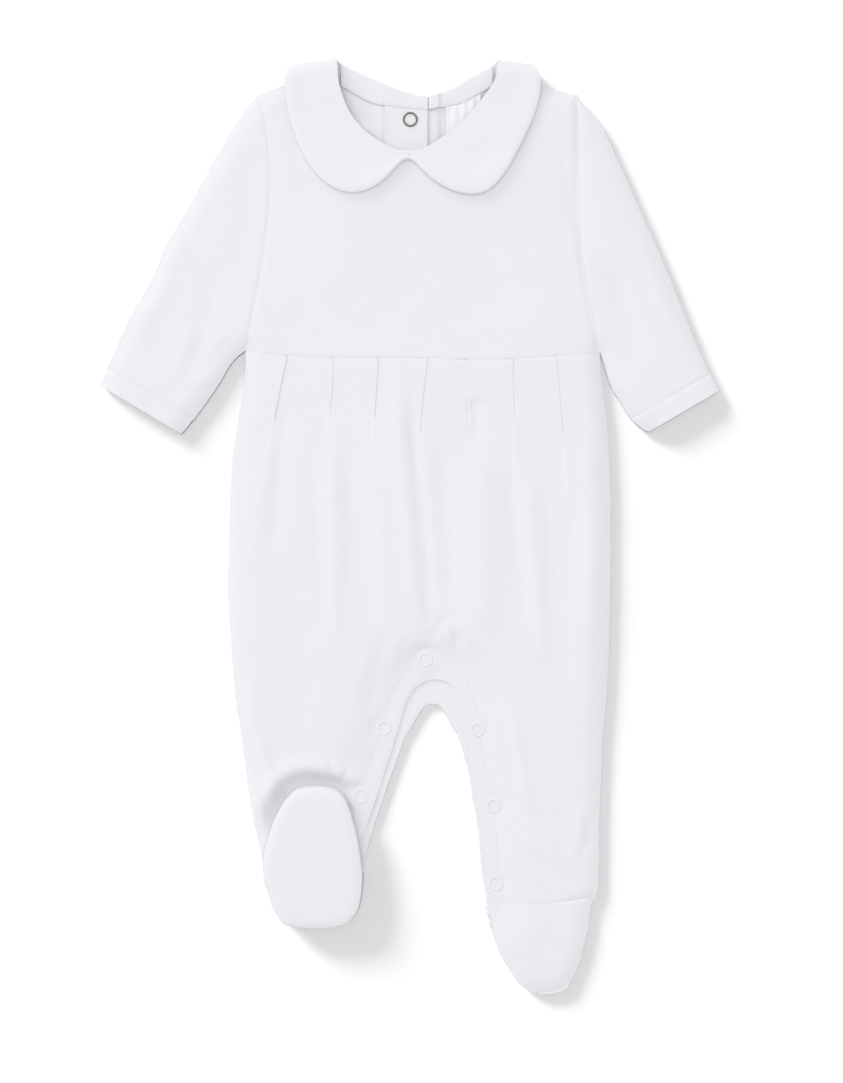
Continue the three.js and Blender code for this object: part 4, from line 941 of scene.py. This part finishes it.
bm = bmesh.new()
layGrid(bm, steps(8), steps(119), placeBand, flip=True)
inseamBand = finishPiece("backInseamBand", bm, cottonKnit, suit["bandWall"], soften=0.55)
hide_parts("back_inseam_band")
print("back of the lower suit laid")

# Sleeves: flattened tubes set into the armholes
sleeveSize = {"top": 56, "under": 34, "along": 65, "hemRows": 25, "width": 72, "hem": 12, "hemRaise": 0.3}


def placeSleeve(side):
    lines = sleeveLines[side]
    arm = armLeft if side == "left" else armRight
    sign = -1 if side == "left" else 1

    def place(s, v):
        under = s > 1
        part = np.where(under, 2 - s, s)
        if side == "right":
            part = 1 - part
        (ox, oy), (ix, iy) = lines["out"](v), lines["inn"](v)
        (ox0, oy0), (ix0, iy0) = lines["out"](0), lines["inn"](0)
        x, y = mix(ox, ix, part), mix(oy, iy, part)
        x = x + (arm(mix(oy0, iy0, part)) - mix(ox0, ix0, part)) * (1 - v) ** 2
        x = x + sign * suit["joinGap"] / 2
        top = frontTop(x, y) + cuffHem(side, x, y) - armSeamDip(side, x, y)
        z = np.where(under, backBottom(x, y) + 0.2 * backCrease(x, y), top)
        edge = (part < 1e-6) | (part > 1 - 1e-6)
        return x, y, np.where(edge, suit["sleeveEdge"], z)

    return place


# The turned hem of a cuff: a raised band, a groove where it is stitched, and slight puckers
def cuffHem(side, x, y):
    (ex, ey), (gx, gy) = sleeveLines[side]["out"](1), sleeveLines[side]["inn"](1)
    wide = np.hypot(gx - ex, gy - ey)
    fromCuff = np.abs((x - ex) * (gy - ey) - (y - ey) * (gx - ex)) / wide
    along = ((x - ex) * (gx - ex) + (y - ey) * (gy - ey)) / wide
    pastHem = fromCuff - sleeveSize["hem"]
    band = sleeveSize["hemRaise"] * soft((0.6 - pastHem) / 1.2)
    pucker = 0.06 * np.sin(along * 1.3 + 2 * np.sin(along * 0.5)) * gauss((pastHem - 2) / 3)
    return band - 0.6 * gauss(pastHem / 0.9) + pucker


# The seam sinks a little between the sleeve and the yoke, deeper on the right
armSeam = {"left": (0.5, 2.2, 1.6), "right": (1.7, 3.0, 1.3), "top": 268, "bottom": 106}


def armSeamDip(side, x, y):
    past = (x - armLeft(y)) if side == "left" else (armRight(y) - x)
    deep, onYoke, onSleeve = armSeam[side]
    seam = deep * gauss(past / np.where(past > 0, onYoke, onSleeve))
    return seam * soft((armSeam["top"] - y) / 10) * soft((y - armSeam["bottom"]) / 10)


for side in ("left", "right"):
    top = panelSteps(sleeveSize["top"], sleeveSize["width"], first=10, last=10)
    under = panelSteps(sleeveSize["under"], sleeveSize["width"], first=8, last=8)
    along = np.concatenate([
        np.linspace(0, 0.9, sleeveSize["along"] + 1), np.linspace(0.9, 1, sleeveSize["hemRows"] + 1)[1:],
    ])
    bm = bmesh.new()
    grain = -30 if side == "left" else 30
    layGrid(bm, np.concatenate([top, 1 + under[1:]]), along, placeSleeve(side), grain, flip=True)
    sleeve = finishPiece("sleeve" + side.title(), bm, cottonKnit, suit["frontWall"], soften=0.2)
    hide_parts("sleeve_" + side)
print("sleeves set in")

# The yoke rises a little to the edge of the collar, which leaves a soft shade there
def collarRest(x, y):
    away = distance(x, y, collarEdges)
    lower = soft((240 - y) / 22)
    return mix(0.7, 1.9, lower) * gauss(away / mix(1.6, 4.8, lower)) * soft((270 - y) / 12)


# Front yoke, from the waist seam to the shoulders, with the neck cut out
yokeSize = {"columns": 54, "lowerRows": 83, "neckRows": 43}
yokeCentre = curveOf(table("y x", [[105, -7], [232, -0.3]]), "y", "x")


def armEdge(half, y):
    return armLeft(y) + suit["joinGap"] / 2 if half == "left" else armRight(y) - suit["joinGap"] / 2


def placeYoke(half, upper):
    dip = suit["neckDip"]
    inner = yokeCentre
    if upper:
        inner = neckLeft if half == "left" else neckRight

    def place(s, v):
        def xAt(y):
            return acrossHalf(half, armEdge(half, y), inner(y), s)

        def yAt(x):
            return mix(dip, shoulderY(x), v) if upper else mix(waistY(x) + suit["joinGap"] / 2, dip, v)

        x, y = settle(xAt, yAt, mix(dip, 275, v) if upper else mix(suit["waist"], dip, v))
        return x, y, frontTop(x, y) - armSeamDip(half, x, y) + collarRest(x, y)

    return place


bm = bmesh.new()
for half in ("left", "right"):
    columns = halfSteps(half, yokeSize["columns"], 100, 4)
    layGrid(bm, columns, steps(yokeSize["lowerRows"]) ** 1.1, placeYoke(half, False))
    layGrid(bm, columns, lateSteps(yokeSize["neckRows"], 1.4), placeYoke(half, True))
frontYoke = finishPiece("frontYoke", bm, cottonKnit, suit["frontWall"], soften=0.2)
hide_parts("front_yoke")

# Back halves, which lap at the centre under the inner placket
backYokeSize = {"columns": 74, "rows": 71, "leftNeck": -46, "rightNeck": 55, "underTape": 1.2}


def placeBackYoke(half):
    def place(s, v):
        def xAt(y):
            return acrossHalf(half, armEdge(half, y), suit["lapRight" if half == "left" else "lapLeft"], s)

        def yAt(x):
            onShoulder = (x < backYokeSize["leftNeck"]) if half == "left" else (x > backYokeSize["rightNeck"])
            top = np.where(onShoulder, shoulderY(x), backNeckY(x) - backYokeSize["underTape"])
            return mix(backWaistY(x) + suit["joinGap"] / 2, top, v)

        x, y = settle(xAt, yAt, mix(suit["waist"], 270, v))
        lap = lapLift(x) if half == "left" else 0
        crease = backCrease(x, y) * soft((200 - y) / 30) * soft((np.abs(x + 2) - 24) / 10)
        return x, y, backBottom(x, y, lap) + crease + (facing(x, y) if half == "right" else 0)

    return place


for half in ("left", "right"):
    bm = bmesh.new()
    columns = halfSteps(half, backYokeSize["columns"], 112 if half == "left" else 118, 8)
    layGrid(bm, columns, lateSteps(backYokeSize["rows"], 1.25), placeBackYoke(half), flip=True)
    backYoke = finishPiece("backYoke" + half.title(), bm, cottonKnit, suit["backWall"], soften=0.4)
    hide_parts("back_yoke_" + half)
print("yoke and back halves laid")

# Collar halves: a lobe on the yoke that folds over the shoulder and lies under the back
collarSize = {
    "across": 26, "frontRows": 84, "backRows": 44, "frontFold": 7, "backFold": 6, "foldHeight": 5.4,
    "wall": 1.7, "rimFall": 0.7, "rimRound": 4,
}


def placeCollar(side):
    lines = collarLines[side]
    neck, outer = (pathOf(pointsOf(lines[key])) for key in ("neck", "outer"))
    backNeckPath, backOutPath = (
        pathOf(pointsOf(lines["back"], key + "X", key + "Y")) for key in ("neck", "out")
    )
    fold = [np.array([neck(1), outer(1)])]

    def place(s, v):
        onFront = v <= 1
        share = np.clip(v, 0, 1)
        later = np.clip(v - 1, 0, 1)
        (nx, ny), (ox, oy) = neck(share), outer(share)
        (bx, by), (cx, cy) = backNeckPath(later), backOutPath(later)
        x = np.where(onFront, mix(nx, ox, s), mix(bx, cx, s))
        y = np.where(onFront, mix(ny, oy, s), mix(by, cy, s))
        away = distance(x, y, fold)
        rim = distance(x, y, collarEdges)
        base = crown(x, y) + handLaid(x, y) + suit["seamGap"] + suit["collarWall"] + 0.1
        base = base + mix(0.5, 1.6, soft((240 - y) / 22)) * soft((s - 0.55) / 0.4)
        base = base - collarSize["rimFall"] * (1 - rise(rim / collarSize["rimRound"]))
        high = collarSize["foldHeight"]
        front = high + (base - high) * rise(away / collarSize["frontFold"])
        back = mix(high, collarSize["wall"], rise(away / collarSize["backFold"]))
        return x, y, np.where(onFront, front, back)

    return place


for side in ("left", "right"):
    bm = bmesh.new()
    front, back = (
        (roundSteps(collarSize[key]) + steps(collarSize[key])) / 2 for key in ("frontRows", "backRows")
    )
    rows = np.concatenate([1 - front[::-1], 1 + back[1:]])
    layGrid(bm, steps(collarSize["across"], 0.8), rows, placeCollar(side), flip=side == "right")
    collar = finishPiece("collar" + side.title(), bm, cottonKnit, collarSize["wall"], soften=0.75)
    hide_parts("collar_" + side)
print("collar folded over")

# Tape over the back neck seam in two halves, the placket below it, and the plain label
tapeSize = {"left": (-42.6, 11.4), "right": (11.6, 51.6), "lift": 0.15, "stitchLift": 0.08}


def placeTape(half):
    start, end = tapeSize[half]
    under = leftBackTop if half == "left" else rightBackTop

    def place(s, v):
        x = mix(start, end, s)
        y = mix(tapeLowerY(x), backNeckY(x) - 0.2, v)
        bow = 0.25 * np.sin(np.pi * v)
        if half == "right":
            bow = bow + 0.5 * soft((21 - x) / 3)
        return x, y, under(x, y) + suit["seamGap"] + tapeSize["lift"] + suit["tapeWall"] + bow

    return place


for half in ("left", "right"):
    bm = bmesh.new()
    layGrid(bm, steps(60), steps(10), placeTape(half), 90)
    tape = finishPiece("neckTape" + half.title(), bm, cottonKnit, suit["tapeWall"], soften=0.2)
    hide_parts("neck_tape_" + half)


placketSize = {
    "left": -15.6, "right": 11.2, "bottom": 112, "topGap": 0.08, "step": -11.5, "lift": 0.2, "stitchX": -13.8,
}


def placketTop(x, y):
    under = leftBackTop(np.maximum(x, placketSize["step"]), y)
    return under + suit["seamGap"] + placketSize["lift"] + suit["tapeWall"]


def placePlacket(s, v):
    x = mix(placketSize["left"], placketSize["right"], s)
    y = mix(placketSize["bottom"], tapeLowerY(x) - placketSize["topGap"], v)
    return x, y, placketTop(x, y)


bm = bmesh.new()
layGrid(bm, steps(16), steps(80), placePlacket)
placket = finishPiece("backPlacket", bm, cottonKnit, suit["tapeWall"], soften=0.2)
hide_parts("back_placket")

labelSize = {"left": 22.4, "right": 44.2, "drop": 21, "wall": 0.6}


def placeLabel(s, v):
    x = mix(labelSize["left"], labelSize["right"], s)
    bottom = tapeLowerY(labelSize["left"] + 10) - labelSize["drop"]
    y = mix(tapeLowerY(x) - placketSize["topGap"], bottom, 1 - v)
    ripple = 0.22 * np.sin(x * 1.15 + 0.6) * soft(v) + 0.12 * np.sin(x * 0.7) * (1 - v)
    curl = 0.55 * (1 - v) * gauss((s - 0.25) / 0.4) + ripple
    return x, y, rightBackTop(x, y) + suit["seamGap"] + suit["tapeWall"] + 0.1 + curl


bm = bmesh.new()
layGrid(bm, steps(28), steps(28), placeLabel)
neckLabel = finishPiece("neckLabel", bm, satin, labelSize["wall"], soften=0.2)
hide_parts("neck_label")
print("neck finished inside")

# Right foot: the upper on top, the sole under it
rightFootSize = {"columns": 84, "hem": -231.45}
footInner = trace(np.linspace(-231.4, -244, 8), footRightL)


def placeRightFoot(upper):
    first, last = ([[48, -231.4]], [[114.7, -229.2], [116, -227.2]])
    if not upper:
        first, last = ([[48, -231.5]], [[113, -231.45]])
    line = np.vstack([first, footOutline[1:-1], last])
    outline = pathOf(line)
    start, end = line[0][0], line[-1][0]

    def place(s, v):
        toX, toY = outline(s)
        fromX = mix(start, end, s)
        fromY = rightHemY(fromX) - suit["joinGap"] / 2 if upper else rightFootSize["hem"] + 0 * fromX
        x, y = mix(toX, fromX, v), mix(toY, fromY, v)
        closed, away = soft((-233 - y) / 8), distance(x, y, [footInner])
        if not upper:
            seam = closed * suit["backSeam"] * (1 - rise(away / suit["floorRound"]))
            return x, y, np.maximum(backBottom(x, y), seam)
        z = frontTop(x, y, pastAll)
        fold = suit["frontSeam"] + (z - suit["frontSeam"]) * bank(away / suit["topRound"])
        return x, y, mix(z, fold, closed)

    return place


for upper in (True, False):
    bm = bmesh.new()
    nearToe = 0.22 * roundSteps(12)
    rows = np.concatenate([nearToe[:-1], np.linspace(nearToe[-1], 1, 30)])
    layGrid(bm, steps(rightFootSize["columns"]), rows, placeRightFoot(upper), flip=not upper)
    wall = suit["frontWall"] if upper else suit["backWall"]
    foot = finishPiece("footRight" + ("Upper" if upper else "Sole"), bm, cottonKnit, wall, soften=0.1)
    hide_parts("foot_right_upper" if upper else "foot_right_sole")

# Left foot folded up on the leg: its hidden layers are one rounded solid with a groove between the layers
leftFootSize = {
    "rim": 9.0, "top": 12.2, "length": 88, "around": 150, "middle": (-60, -206), "groove": 1.0, "lip": 0.7,
    "soleInset": 1.2, "soleWall": 1.2, "roomX": -41.5, "roomY": -210, "room": 1.7,
}
leftFootLine = pathOf(leftFootLoop)


# Rings from the outline, at 0, to the middle, at 1
def footRing(s, v, inset=0.0):
    (x, y), (midX, midY) = leftFootLine(s), leftFootSize["middle"]
    part = mix(inset / np.hypot(x - midX, y - midY), 1, v)
    return mix(x, midX, part), mix(y, midY, part)


def footPillow(x, y):
    away = distance(x, y, [leftFootLoop])
    length = np.clip((-160 - y) / leftFootSize["length"], 0, 1)
    rim = leftFootSize["rim"]
    return rim + (leftFootSize["top"] - 0.6 * (2 * length - 1) ** 2 - rim) * rise(away / 7)


def placeLeftFoot(upper):
    def place(s, v):
        groove, edge = v < 0, (v >= 0) & (v < 1e-6)
        x, y = footRing(s, np.maximum(v, 0), np.where(groove, leftFootSize["groove"], 0))
        rim = leftFootSize["rim"]
        if upper:
            lip = rim + leftFootSize["lip"]
            z = np.where(edge, lip, np.maximum(footPillow(x, y), lip))
        else:
            lip = rim - leftFootSize["lip"]
            onLeg = y > suit["leftHem"] - 0.6
            onBack = backBottom(x, y) + suit["backWall"] + 0.9
            rest = np.where(onLeg, frontTop(x, y, pastAll) + suit["seamGap"], onBack)
            near = np.hypot(x - leftFootSize["roomX"], y - leftFootSize["roomY"])
            room = np.where(onLeg, leftFootSize["room"] * soft((16 - near) / 6), 0)
            low = np.maximum(rest + room, np.where(onLeg, suit["pressedLeg"] + suit["seamGap"], 0))
            away = distance(x, y, [leftFootLoop])
            z = np.where(edge, lip, np.minimum(lip, mix(lip, low, rise(away / 6))))
        return x, y, np.where(groove, rim, z)

    return place


ringSteps = np.concatenate([0.3 * roundSteps(9)[:-1], np.linspace(0.3, 1, 22)])
bm = bmesh.new()
for upper in (True, False):
    layGrid(bm, steps(leftFootSize["around"]), [-1, *ringSteps], placeLeftFoot(upper), flip=upper)
footLayers = finishPiece("footLeftLayers", bm, cottonKnit)
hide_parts("foot_left_layers")


def placeLeftSole(s, v):
    x, y = footRing(s, v, leftFootSize["soleInset"])
    return x, y, footPillow(x, y) + suit["seamGap"] + leftFootSize["soleWall"] + 0.1 + 0.4 * handLaid(x, y)


bm = bmesh.new()
layGrid(bm, steps(leftFootSize["around"]), ringSteps, placeLeftSole, flip=True)
footSole = finishPiece("footLeftSole", bm, cottonKnit, leftFootSize["soleWall"], soften=0.55)
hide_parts("foot_left_sole")
print("feet made")

# Ring snaps: a cap ring turned from its profile, with the teeth that hold the cloth
snapSize = {"outer": 4.6, "segments": 48, "prongs": 5, "prongSize": 0.34, "prongLift": 0.15, "turn": 0.3}
backSnaps = table("x y", [[0.5, 252.8], [-0.5, 204], [-0.5, 155]])


def turnSnap(bm, x, y, z, hole, high):
    outer = snapSize["outer"]
    profile = [
        (hole, 0), (outer - 0.15, 0), (outer, 0.1), (outer, 0.35 * high), (outer - 0.12, 0.7 * high),
        (outer - 0.35, 0.95 * high), (mix(hole, outer, 0.5), high), (hole + 0.25, 0.9 * high),
        (hole + 0.08, 0.7 * high), (hole, 0.4 * high),
    ]
    verts = [
        bmesh.ops.create_vert(bm, co=((x + r) * mm, y * mm, (z + up) * mm))["vert"][0] for r, up in profile
    ]
    edges = [bm.edges.new(pair) for pair in zip(verts, verts[1:] + verts[:1])]
    bmesh.ops.spin(
        bm, geom=verts + edges, cent=(x * mm, y * mm, 0), axis=(0, 0, 1), angle=math.tau,
        steps=snapSize["segments"], use_merge=True,
    )
    reach = hole - 0.05
    for i in range(snapSize["prongs"]):
        turn = math.tau * i / snapSize["prongs"] + snapSize["turn"]
        spot = Vector((x + reach * math.cos(turn), y + reach * math.sin(turn), z + snapSize["prongLift"]))
        bmesh.ops.create_uvsphere(
            bm, u_segments=10, v_segments=6, radius=snapSize["prongSize"] * mm,
            matrix=Matrix.Translation(spot * mm) @ Matrix.Diagonal((1, 1, 0.5, 1)),
        )


bm = bmesh.new()
for x, y in zip(*frontSnaps.values()):
    turnSnap(bm, x, y, float(snapSeat(x, y)) + 0.03, hole=3.2, high=0.45)
snapsWhite = finishPiece("snapsWhite", bm, whiteEnamel)
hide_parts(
    "snap_crotch", "snap_left_1", "snap_left_2", "snap_left_3", "snap_right_1", "snap_right_2",
    "snap_right_3",
)

bm = bmesh.new()
for x, y in zip(*backSnaps.values()):
    turnSnap(bm, x, y, float(leftBackTop(x, y)) + 1.55, hole=3.55, high=0.9)
snapsNickel = finishPiece("snapsNickel", bm, nickel)
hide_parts("snap_back_1", "snap_back_2", "snap_back_3")
print("snaps set")

# Stitches: short rounds of thread in a row, laid on the cloth. The stitches are real shapes; their colour,
# darker than the cloth, is painted shade of the sewn groove and stitch holes
stitchSize = {"pitch": 2.6, "length": 1.5, "wide": 0.34, "high": 0.2}


def sewRow(bm, line, heightAt):
    row = pathOf(line)
    count = int(row.length / stitchSize["pitch"])
    spots = (np.arange(count) + 0.5) / count
    reach = 0.4 / row.length
    (xs, ys), (aheadX, aheadY) = row(spots), row(spots + reach)
    for x, y, z, turn in zip(xs, ys, heightAt(xs, ys), np.arctan2(aheadY - ys, aheadX - xs)):
        place = Matrix.Translation((x * mm, y * mm, (z + 0.02) * mm)) @ Matrix.Rotation(turn, 4, "Z")
        shape = Matrix.Diagonal((stitchSize["length"] / 2, stitchSize["wide"] / 2, stitchSize["high"], 1))
        bmesh.ops.create_uvsphere(bm, u_segments=8, v_segments=6, radius=mm, matrix=place @ shape)


# A row of points beside a line, inside by a distance, to the left as the line runs
def beside(line, inside):
    lead = np.gradient(line, axis=0)
    lead /= np.linalg.norm(lead, axis=1)[:, None]
    return line + inside * np.column_stack([-lead[:, 1], lead[:, 0]])


def cuffRow(side):
    outer, inner = (np.array(sleeveLines[side][key](1)) for key in ("out", "inn"))
    across = (inner - outer) / np.linalg.norm(inner - outer)
    up = np.array([across[1], -across[0]]) * (-1 if side == "left" else 1)
    line = np.array([mix(outer, inner, part) for part in np.linspace(0.05, 0.95, 12)])
    return line + up * sleeveSize["hem"] * np.sign(up[1])


bm = bmesh.new()
for side in ("left", "right"):
    sewRow(bm, cuffRow(side), lambda x, y: frontTop(x, y) + cuffHem(side, x, y))
inLeft = trace(np.linspace(-156, -99, 40), frontInLeft)
inRight = trace(np.linspace(-99, -228, 70), frontInRight)
for inside in (1.4, suit["plackWidth"]):
    sewRow(bm, beside(inLeft, inside), snapSeat)
    sewRow(bm, beside(inRight, inside), snapSeat)
for start, end, under in ((-40, 9, leftBackTop), (13, 50, rightBackTop)):
    tapeX = np.linspace(start, end, 24)
    tapeRow = np.column_stack([tapeX, tapeLowerY(tapeX) + 1.3])
    lift = suit["seamGap"] + tapeSize["lift"] + suit["tapeWall"] + tapeSize["stitchLift"]
    sewRow(bm, tapeRow, lambda x, y: under(x, y) + lift)
sewRow(bm, np.array([[placketSize["stitchX"], y] for y in np.linspace(200, 258, 20)]), placketTop)
stitches = finishPiece("stitches", bm, shadedThread)
print("stitches sewn")

# Floor, light and camera
look = {
    "camera": (7.44, -8.68),
    "frameHeight": 671.5,
    "lens": 85,
    "sensor": 36,
    "clothTop": 5,
    "floor": 0.22,
    "world": 0.67,
}


def makeStage():
    bm = bmesh.new()
    bmesh.ops.create_grid(bm, x_segments=1, y_segments=1, size=3)
    mesh = bpy.data.meshes.new("floor")
    bm.to_mesh(mesh)
    bm.free()
    floor = bpy.data.objects.new("floor", mesh)
    bpy.context.scene.collection.objects.link(floor)
    mesh.materials.append(newMaterial("whitePaper", {
        "Base Color": (look["floor"], look["floor"], look["floor"], 1), "Roughness": 0.9,
        "Specular IOR Level": 0.1,
    })[0])
    return floor


# Lamps that look at the middle of the suit; a sun's size is its angle in degrees
def addLight(name, kind, place, energy, size):
    data = bpy.data.lights.new(name, kind)
    data.energy = energy
    if kind == "AREA":
        data.shape = "DISK"
        data.size = size
    else:
        data.angle = math.radians(size)
    lamp = bpy.data.objects.new(name, data)
    lamp.location = place
    lamp.rotation_euler = (-Vector(place)).to_track_quat("-Z", "Y").to_euler()
    bpy.context.scene.collection.objects.link(lamp)
    return lamp


floor = makeStage()
addLight("softKey", "SUN", (-0.9, 1.0, 0.74), 0.66, 30)
addLight("overhead", "AREA", (-0.2, 0.3, 2.4), 21.5, 2.2)
# Two lamps lay a long pale shadow on the floor alone, and leave the cloth evenly lit
onlyFloor = bpy.data.collections.new("groundLit")
onlyFloor.objects.link(floor)
for name, place, energy, spread in (
    ("groundKey", (-1.0, 1.0, 0.44), 16.3, 20), ("groundFill", (-0.02, 0.03, 1.0), 7.0, 8),
):
    addLight(name, "SUN", place, energy, spread).light_linking.receiver_collection = onlyFloor
world = bpy.data.worlds.new("studio")
world.use_nodes = True
setInputs(world.node_tree.nodes["Background"], {"Color": (1, 1, 1, 1), "Strength": look["world"]})
bpy.context.scene.world = world
bpy.context.scene.view_settings.view_transform = "Standard"

camera = bpy.data.objects.new("camera", bpy.data.cameras.new("camera"))
camera.data.lens = look["lens"]
camera.data.sensor_width = look["sensor"]
camera.data.sensor_fit = "AUTO"
height = look["frameHeight"] * look["lens"] / look["sensor"] + look["clothTop"]
camera.location = Vector((*look["camera"], height)) * mm
bpy.context.scene.collection.objects.link(camera)
bpy.context.scene.camera = camera
print("stage set")
